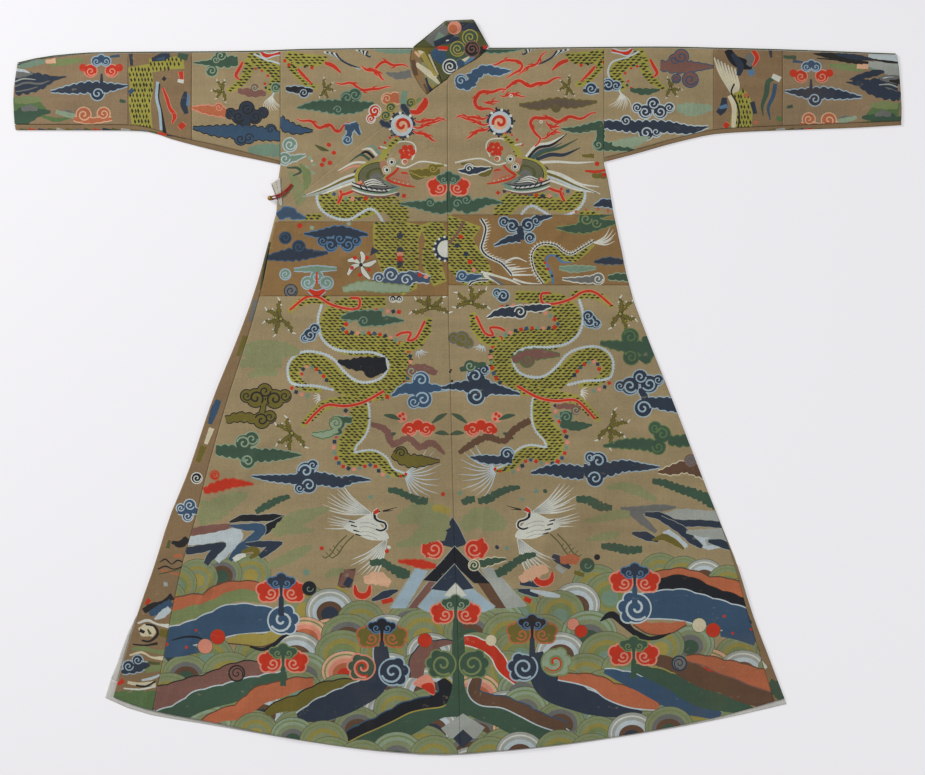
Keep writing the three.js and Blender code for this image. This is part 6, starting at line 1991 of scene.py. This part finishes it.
# %% Dyeing and unfolding a panel
def dye_and_unfold(mesh, faces, points, parts, colours, box):
    """Each corner's silk and its place on the flat pattern. parts are the first side faces of
    the underside and of the seam; colours are one for each top face, the underside's and the
    seam's; box is the plan's lowest and highest corner."""
    top_light, under_light, seam_light = colours
    face_light = np.vstack([top_light, np.tile(under_light, (len(faces) - parts[0], 1))])
    face_light[parts[1]:] = seam_light
    of_face = np.repeat(np.arange(len(faces)), [len(f) for f in faces])
    of_point = np.array([i for f in faces for i in f])
    dye = mesh.color_attributes.new("silk", "FLOAT_COLOR", "CORNER")
    dye.data.foreach_set("color", face_light[of_face].astype(np.float32).ravel())
    is_under = (of_face >= parts[0]) & (of_face < parts[1])
    flat = (points[of_point, :2] - box[0]) / (box[1] - box[0])
    # the top and the seam take the left 80 % of the pattern, the underside the rest
    flat[:, 0] = np.where(is_under, 0.82 + 0.17 * flat[:, 0], 0.01 + 0.78 * flat[:, 0])
    flat[:, 1] = 0.01 + 0.98 * flat[:, 1]
    layer = mesh.uv_layers.new(name="OFBake")
    layer.data.foreach_set("uv", flat.astype(np.float32).ravel())
    return of_point, of_face >= parts[1]


# %% One panel
def cloth_panel(name, node_name, field, ground, creased, thick, step, under="lining",
                drop=EDGE_DROP):
    """A closed thin shell with the field's woven shapes in its top."""
    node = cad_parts[node_name]
    lie = Lie(node, creased)
    outline = spaced(top_outline(node), OUTLINE_STEP)
    low, high = outline.min(0), outline.max(0)
    over = [(p, silk) for p, silk, fields in shapes
            if field in fields and (p.min(0) < high).all() and (p.max(0) > low).all()]
    xy, tris, silk, rim = woven_top(outline, over, ground, step)

    def shape(p, depth):
        """Height and upward normal of the cloth, depth mm below its top, rounded at the rim."""
        distance, outward = to_edge(p, outline)
        share = np.clip(1 - distance / EDGE_ROUND, 0, 1)
        fall = drop * (1 - np.sqrt(np.clip(1 - share ** 2, 0, 1)))
        x, y = p[:, 0], p[:, 1]
        slope = [(lie.top(x + dx, y + dy) - lie.top(x - dx, y - dy)) / (2 * PROBE)
                 for dx, dy in ((PROBE, 0), (0, PROBE))]
        tilt = outward * np.minimum(share ** 1.5 * 1.1, 1.1)[:, None]
        normal = np.column_stack([tilt[:, 0] - slope[0], tilt[:, 1] - slope[1], np.ones(len(p))])
        return lie.top(x, y) - depth, fall, normal / np.linalg.norm(normal, axis=1)[:, None]

    z, fall, normal = shape(xy, 0.0)
    base, base_tris, base_of = plain_base(outline, xy[rim], 3 * step)
    base_z, base_fall, base_normal = shape(base, thick)
    if base_z.min() < LOWEST:       # the lowest cloth: its own creases, on the hidden side
        hollow = [hidden_crease(base[:, 0] + dx, base[:, 1] + dy)
                  for dx, dy in ((0, 0), (PROBE, 0), (0, PROBE))]
        base_z = base_z + hollow[0]
        base_normal[:, :2] -= np.column_stack([hollow[1] - hollow[0],
                                               hollow[2] - hollow[0]]) / PROBE
        base_normal /= np.linalg.norm(base_normal, axis=1)[:, None]
    count = len(xy)
    points = np.vstack([
        np.column_stack([xy, z - fall]),
        np.column_stack([base, base_z + 0.15 * base_fall / max(drop, 1e-6)]),
    ])
    faces = [tuple(t) for t in tris] + [tuple(count + i for i in reversed(t)) for t in base_tris]
    for k, (a, b) in enumerate(zip(rim, np.roll(rim, -1))):
        c, d = count + base_of[(k + 1) % len(rim)], count + base_of[k]
        faces.append((int(b), int(a), d, c) if d != c else (int(b), int(a), d))
    mesh = bpy.data.meshes.new(name)
    mesh.from_pydata((points * MM).tolist(), [], faces)
    of_point, is_seam = dye_and_unfold(
        mesh, faces, points, (len(tris), len(tris) + len(base_tris)),
        (SILK_LIGHT[silk], SILK_LIGHT[SILK_NAMES.index(under)],
         SILK_LIGHT[SILK_NAMES.index(ground)]), (low, high))

    loop_normal = np.vstack([normal, -base_normal])[of_point]
    seam_at = np.where(is_seam)[0]
    outward = to_edge(points[of_point[seam_at], :2], outline)[1]
    loop_normal[seam_at] = np.column_stack([outward, np.zeros(len(seam_at))])
    mesh.polygons.foreach_set("use_smooth", np.ones(len(faces), bool))
    mesh.normals_split_custom_set(loop_normal.tolist())
    made = shown(name, mesh)
    made.data.materials.append(tapestry)
    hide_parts(node_name)
    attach(made, "root")
    return made, area_of(outline), high - low, len(over)


print("a panel's cloth is", CLOTH, "mm thick, and its seams turn down", EDGE_DROP, "mm")

# %% [markdown]
# ## Piping, tab, loop and button
# A dark green cord is sewn along the shoulders, the sleeve tops and the collar. The front is
# held at the right underarm by a loop of two-ply red cord over a brass ball, which stands on
# a short knotted cord beside a pale tab. A cord is a ring of points swept along its route;
# the ring's low lobes turn as it goes, and so lay the plies around each other.

# %% Sweeping a cord along its route
CAD_SHIFT = (0.0, -0.45)     # mm, from the cutting plan's middle to the frame's
PLIES = 2


def cord_silk(name, colour, dark, faded, fuzz=0.0003):
    """Twisted silk, with painted shade between its fibres and rubbed paler in places."""
    dye = Dye(name)
    fibres = dye.noise((1100.0, 1100.0, 1100.0), 2.0, 0.6)
    worn = dye.noise((30.0, 34.0, 30.0), 4.0, 0.66)
    # the dark colour is painted shade in the hollows between fibres, where the same noise sinks the
    # bump
    base = dye.blend(dye.between(fibres, 0.36, 0.62), light_of(*dark), light_of(*colour))
    return dye.finish(
        Base_Color=dye.blend(dye.between(worn, 0.5, 0.74, 0.0, 0.5), base, light_of(*faded)),
        Roughness=dye.between(fibres, 0.3, 0.7, 0.58, 0.85), Specular_IOR_Level=0.28,
        Sheen_Weight=0.15, Sheen_Roughness=0.45, Normal=dye.relief(fibres, fuzz))


def swept(name, route, wide, tall, material, pitch, depth=0.16, around=12, shrink=()):
    """A closed tube over a route in mm, oval, wide by tall in half sizes."""
    path = np.asarray(route, float)
    along = np.concatenate([[0], np.cumsum(np.linalg.norm(np.diff(path, axis=0), axis=1))])
    ahead = np.gradient(path, axis=0)
    ahead /= np.linalg.norm(ahead, axis=1)[:, None]
    side = np.cross(ahead, (0, 0, 1.0))
    side /= np.linalg.norm(side, axis=1)[:, None]
    up = np.cross(side, ahead)
    turn = np.arange(around) * 2 * np.pi / around
    size = np.ones(len(path))
    for k, part in enumerate(shrink):
        size[k] = size[-1 - k] = part
    ply = 1 - depth * (1 - np.abs(np.cos(PLIES / 2 * (turn[None] - 2 * np.pi * along[:, None]
                                                      / (PLIES * pitch)))))
    ring = ply * size[:, None]
    points = (path[:, None] + side[:, None] * (wide * np.cos(turn) * ring)[:, :, None]
              + up[:, None] * (tall * np.sin(turn) * ring)[:, :, None]).reshape(-1, 3)
    faces = [(i * around + k, i * around + (k + 1) % around, (i + 1) * around + (k + 1) % around,
              (i + 1) * around + k) for i in range(len(path) - 1) for k in range(around)]
    last = (len(path) - 1) * around
    faces += [tuple(reversed(range(around))), tuple(range(last, last + around))]
    mesh = bpy.data.meshes.new(name)
    mesh.from_pydata((points * MM).tolist(), [], faces)
    mesh.polygons.foreach_set("use_smooth", np.ones(len(faces), bool))
    mesh.materials.append(material)
    made = shown(name, mesh)
    bm = bmesh.new()
    bm.from_mesh(mesh)
    bmesh.ops.recalc_face_normals(bm, faces=bm.faces)
    bm.to_mesh(mesh)
    bm.free()
    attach(made, "root")
    print(f"{name}: {along[-1]:.0f} mm, {len(faces)} faces")
    return made


# %% [markdown]
# ### Piping
# Each piping follows the middle of its own solid. The solid's plan is a row of pairs of points,
# so the middle of each pair gives the route, which is then spaced evenly and eased.

# %% Piping
PIPING_PITCH = 4.0
# the second colour is the cord's painted shade between its fibres
green_cord = cord_silk("green_piping", (88, 98, 36), (40, 48, 18), (116, 110, 56))
for node_name, wide in (("piping_right", 1.3), ("piping_left", 1.3), ("piping_collar", 1.15)):
    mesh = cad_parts[node_name].data
    plan = np.array(sorted({(round(v.co.x / MM, 3), round(v.co.y / MM, 3))
                            for v in mesh.vertices}))
    middle = plan.reshape(-1, 2, 2).mean(1)
    top = max(v.co.z for v in mesh.vertices) / MM
    far = length_along(middle)
    at = np.arange(0, far[-1], 1.5)
    run = np.column_stack([np.interp(at, far, middle[:, i]) for i in (0, 1)])
    for _ in range(3):
        run[1:-1] = (run[:-2] + 2 * run[1:-1] + run[2:]) / 4
    piece = swept("cord_" + node_name, np.column_stack([run, np.full(len(run), top / 2)]),
                  wide, top / 2 - 0.1, green_cord, pitch=PIPING_PITCH, around=10,
                  shrink=(0.45, 0.8, 0.95))
    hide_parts(node_name)

# %% [markdown]
# ### The fastening
# A worn tab of pale silk, with two dark lines of wear, ends in the loop's root. The loop is one
# cord: out along one leg, round the ball's neck and back along the other. The ball itself is
# hard brass and keeps its own solid, so it only needs a finish: rubbed bright where it is
# touched, brown in its pits.

# %% Tab of pale silk
for points, widths in [([(280.2, 206.5), (276.2, 195), (271.8, 184)], 0.5),
                       ([(283.0, 204.5), (281.2, 190), (280.8, 177.6)], 0.45),
                       ([(281.6, 206), (278.6, 193), (276.4, 181)], 0.16)]:
    stroke("tab", "ink", points, widths)
tab, area, extent, _ = cloth_panel("silk_closure_tab", "closure_tab", "tab", "lining", False, 2.2,
                                   4.0, "facing", 0.6)
tuple(extent * MM)
area * MM * MM

# %% Loop of red cord
LOOP_ROUTE = [(-330.5, 406.5, 6.2), (-338.0, 397.5, 6.6), (-346.0, 390.0, 8.2),
              (-356.0, 384.0, 8.4), (-365.0, 380.5, 7.6)]
LOOP_SPREAD = [1.7, 1.7, 1.8, 2.1, 2.8]
BUTTON = np.array([-374.5, 378.5])
EYE_HEIGHT, EYE_RADIUS, CORD_RADIUS = 4.6, 3.2, 1.5
route = np.array(LOOP_ROUTE)
towards = BUTTON - route[-1, :2]
towards /= np.linalg.norm(towards)
beside = np.array([-towards[1], towards[0]])
across = sides_of(route[:, :2]) * np.array(LOOP_SPREAD)[:, None]
first = route + np.column_stack([across, np.zeros(5)])
second = route - np.column_stack([across, np.zeros(5)])
eye = [(*(BUTTON + EYE_RADIUS * (math.cos(a) * towards + math.sin(a) * beside)), EYE_HEIGHT)
       for a in np.radians((95, 60, 25, -25, -60, -95))]
if np.dot(across[-1], beside) < 0:
    first, second = second, first
strand = smooth(np.vstack([first, eye, second[::-1]]), 0.55)
strand[:, :2] += CAD_SHIFT
# the second colour is the cord's painted shade between its fibres
red_cord = cord_silk("red_cord", (176, 30, 20), (92, 12, 10), (196, 84, 62))
loop = swept("red_cord_loop", strand, CORD_RADIUS, CORD_RADIUS, red_cord, pitch=2.6, depth=0.2,
             shrink=(0.5, 0.85))
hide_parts("closure_loop")

# %% Knotted cord under the button
KNOT_POINTS, KNOT_HEIGHT, KNOT_RADIUS = 90, 0.9, 1.66
WOUND_FROM = 0.34      # the share of the cord that runs straight before it winds
# the second colour is the cord's painted shade between its fibres
dark_cord = cord_silk("dark_cord", (52, 44, 40), (20, 18, 20), (96, 84, 72), 0.0005)
turns = np.linspace(0, 1, KNOT_POINTS)
knot = np.column_stack([np.interp(turns, (0, 0.3, 1), (-361.9, -370.6, -372.9)),
                        BUTTON[1] + 0.3 * np.sin(turns * 20), np.full(KNOT_POINTS, KNOT_HEIGHT)])
wound = turns > WOUND_FROM
angle = (turns[wound] - WOUND_FROM) * 13.0
knot[wound, 0] = BUTTON[0] + KNOT_RADIUS * np.cos(angle)
knot[wound, 1] = BUTTON[1] + KNOT_RADIUS * np.sin(angle)
knot[:, :2] += CAD_SHIFT
knotted = swept("dark_knot", smooth(knot, 0.7), 0.82, 0.82, dark_cord, pitch=2.0, depth=0.2,
                around=8)
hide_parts("button_cord")

# %% Brass ball
brass = Dye("worn_brass")
rub = brass.noise((700.0, 700.0, 900.0), 4.0, 0.62)
pits = brass.noise((2400.0, 2400.0, 2400.0), 2.0, 0.5)
brass_material = brass.finish(
    Base_Color=brass.blend(brass.between(rub, 0.38, 0.64), light_of(92, 66, 26),
                           light_of(206, 168, 84)),
    Metallic=brass.between(rub, 0.3, 0.5, 0.75, 1.0),
    Roughness=brass.between(rub, 0.35, 0.65, 0.46, 0.24), Normal=brass.relief(pits, 0.0002))
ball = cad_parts["closure_button"]
for slot in ball.material_slots:
    slot.material = brass_material
if not ball.material_slots:
    ball.data.materials.append(brass_material)

# %% [markdown]
# ### Seam allowances
# Panels are a hair apart at their seams. On the sewn robe the turned-in edges close that gap, so
# three narrow strips lie under the seams where the floor or a paler cloth would show.

# %% Seam allowances that show through the seams
ALLOWANCE, UNDER_SEAM = 0.2, 2.05     # mm thick, and mm over the lowest cloth
for name, silk, (x0, y0), (x1, y1), below in [
        ("allowance_armhole_right", "brown", (-360.0, 458.0), (-348.0, 669.0), "back_right"),
        ("allowance_armhole_left", "brown", (287.0, 466.0), (299.0, 676.0), "back_left"),
        ("allowance_neck", "olive", (-88.0, 669.4), (-34.0, 679.8), "back_right")]:
    corners = [(x0, y0), (x1, y0), (x1, y1), (x0, y1)]
    points = [(x, y, UNDER_SEAM + z) for z in (0, ALLOWANCE) for x, y in corners]
    mesh = bpy.data.meshes.new(name)
    mesh.from_pydata((np.array(points) * MM).tolist(), [],
                     [(3, 2, 1, 0), (4, 5, 6, 7), (0, 1, 5, 4), (1, 2, 6, 5), (2, 3, 7, 6),
                      (3, 0, 4, 7)])
    dye = mesh.color_attributes.new("silk", "FLOAT_COLOR", "CORNER")
    dye.data.foreach_set("color", np.tile(SILK_LIGHT[SILK_NAMES.index(silk)],
                                          len(mesh.loops)).astype(np.float32))
    mesh.materials.append(tapestry)
    made = shown(name, mesh)
    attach(made, "root")
print("allowances: 3")

# %% [markdown]
# ## Sewing the panels
# The robe lies on its back. The back and the facings are lowest, the under front lies on them,
# and the crossing front, band and skirt lie on top. Each panel is cut from its own solid's
# outline and woven with its field of the cartoon.

# %% Every panel
PANELS = [   # name, solid, field, ground silk, creased, what it rests on
    ("back_right", "back", "ground", False, []),
    ("back_left", "back", "ground", False, []),
    ("back_hem_facing", "facing", "facing", False, []),
    ("back_side_facing", "facing", "facing", False, []),
    ("under_front", "under", "ground", True, ["back_right", "back_left"]),
    ("overlap_chest", "chest", "ground", True, ["under_front"]),
    ("chest_left", "chest", "ground", True, ["under_front", "back_left"]),
    ("waist_band_right", "band_right", "band", True, ["under_front"]),
    ("waist_band_left", "band_left", "band", True, ["back_left"]),
    ("skirt_right", "skirt", "ground", True, ["under_front"]),
    ("skirt_left", "skirt", "ground", True, ["back_left"]),
    ("side_gore_right", "gore", "patch", True, ["under_front"]),
    ("side_strip_left", "strip", "patch", True, ["back_left"]),
    ("sleeve_right_cuff_back", "back", "sleeve", False, []),
    ("sleeve_right_patch_back", "back", "sleeve", False, []),
    ("sleeve_right_upper_back", "back", "ground", False, []),
    ("sleeve_right_cuff_front", "cuff_right", "sleeve", True, ["sleeve_right_cuff_back"]),
    ("sleeve_right_patch_front", "patch_right", "patch", True, ["sleeve_right_patch_back"]),
    ("sleeve_right_upper_front", "upper_right", "ground", True, ["sleeve_right_upper_back"]),
    ("sleeve_right_strip", "under_right", "patch", False, []),
    ("sleeve_left_upper_back", "back", "ground", False, []),
    ("sleeve_left_patch_back", "back", "sleeve", False, []),
    ("sleeve_left_cuff_back", "back", "sleeve", False, []),
    ("sleeve_left_upper_front", "upper_left", "ground", True, ["sleeve_left_upper_back"]),
    ("sleeve_left_patch_front", "patch_left", "patch", True, ["sleeve_left_patch_back"]),
    ("sleeve_left_cuff_front", "cuff_left", "sleeve", True, ["sleeve_left_cuff_back"]),
    ("sleeve_left_strip", "under_left", "patch", False, []),
    ("collar_back", "collar_back", "moss", False, []),
    ("collar_outer_leaf", "collar_outer", "moss", False, ["collar_under_leaf"]),
    ("collar_under_leaf", "collar_under", "patch", False, ["under_front"]),
]
for node_name, field, ground, creased, below in PANELS:
    thick = 2.6 if node_name in ("collar_back", "collar_outer_leaf") else CLOTH
    step = 30.0 if field == "back" else WEAVE_STEP
    if field.startswith("collar"):
        step = 5.0
    piece, size, extent, woven = cloth_panel("silk_" + node_name, node_name, field, ground,
                                             creased, thick, step)
    width, length = extent * MM
    cut = size * MM * MM
    if cut < 0.4 * width * length:
        length = math.hypot(width, length)
        width = max(cut / length, 0.01)
    print(f"{node_name}: {len(piece.data.polygons)} faces, {woven} woven shapes, "
          f"{cut:.3f} m2")
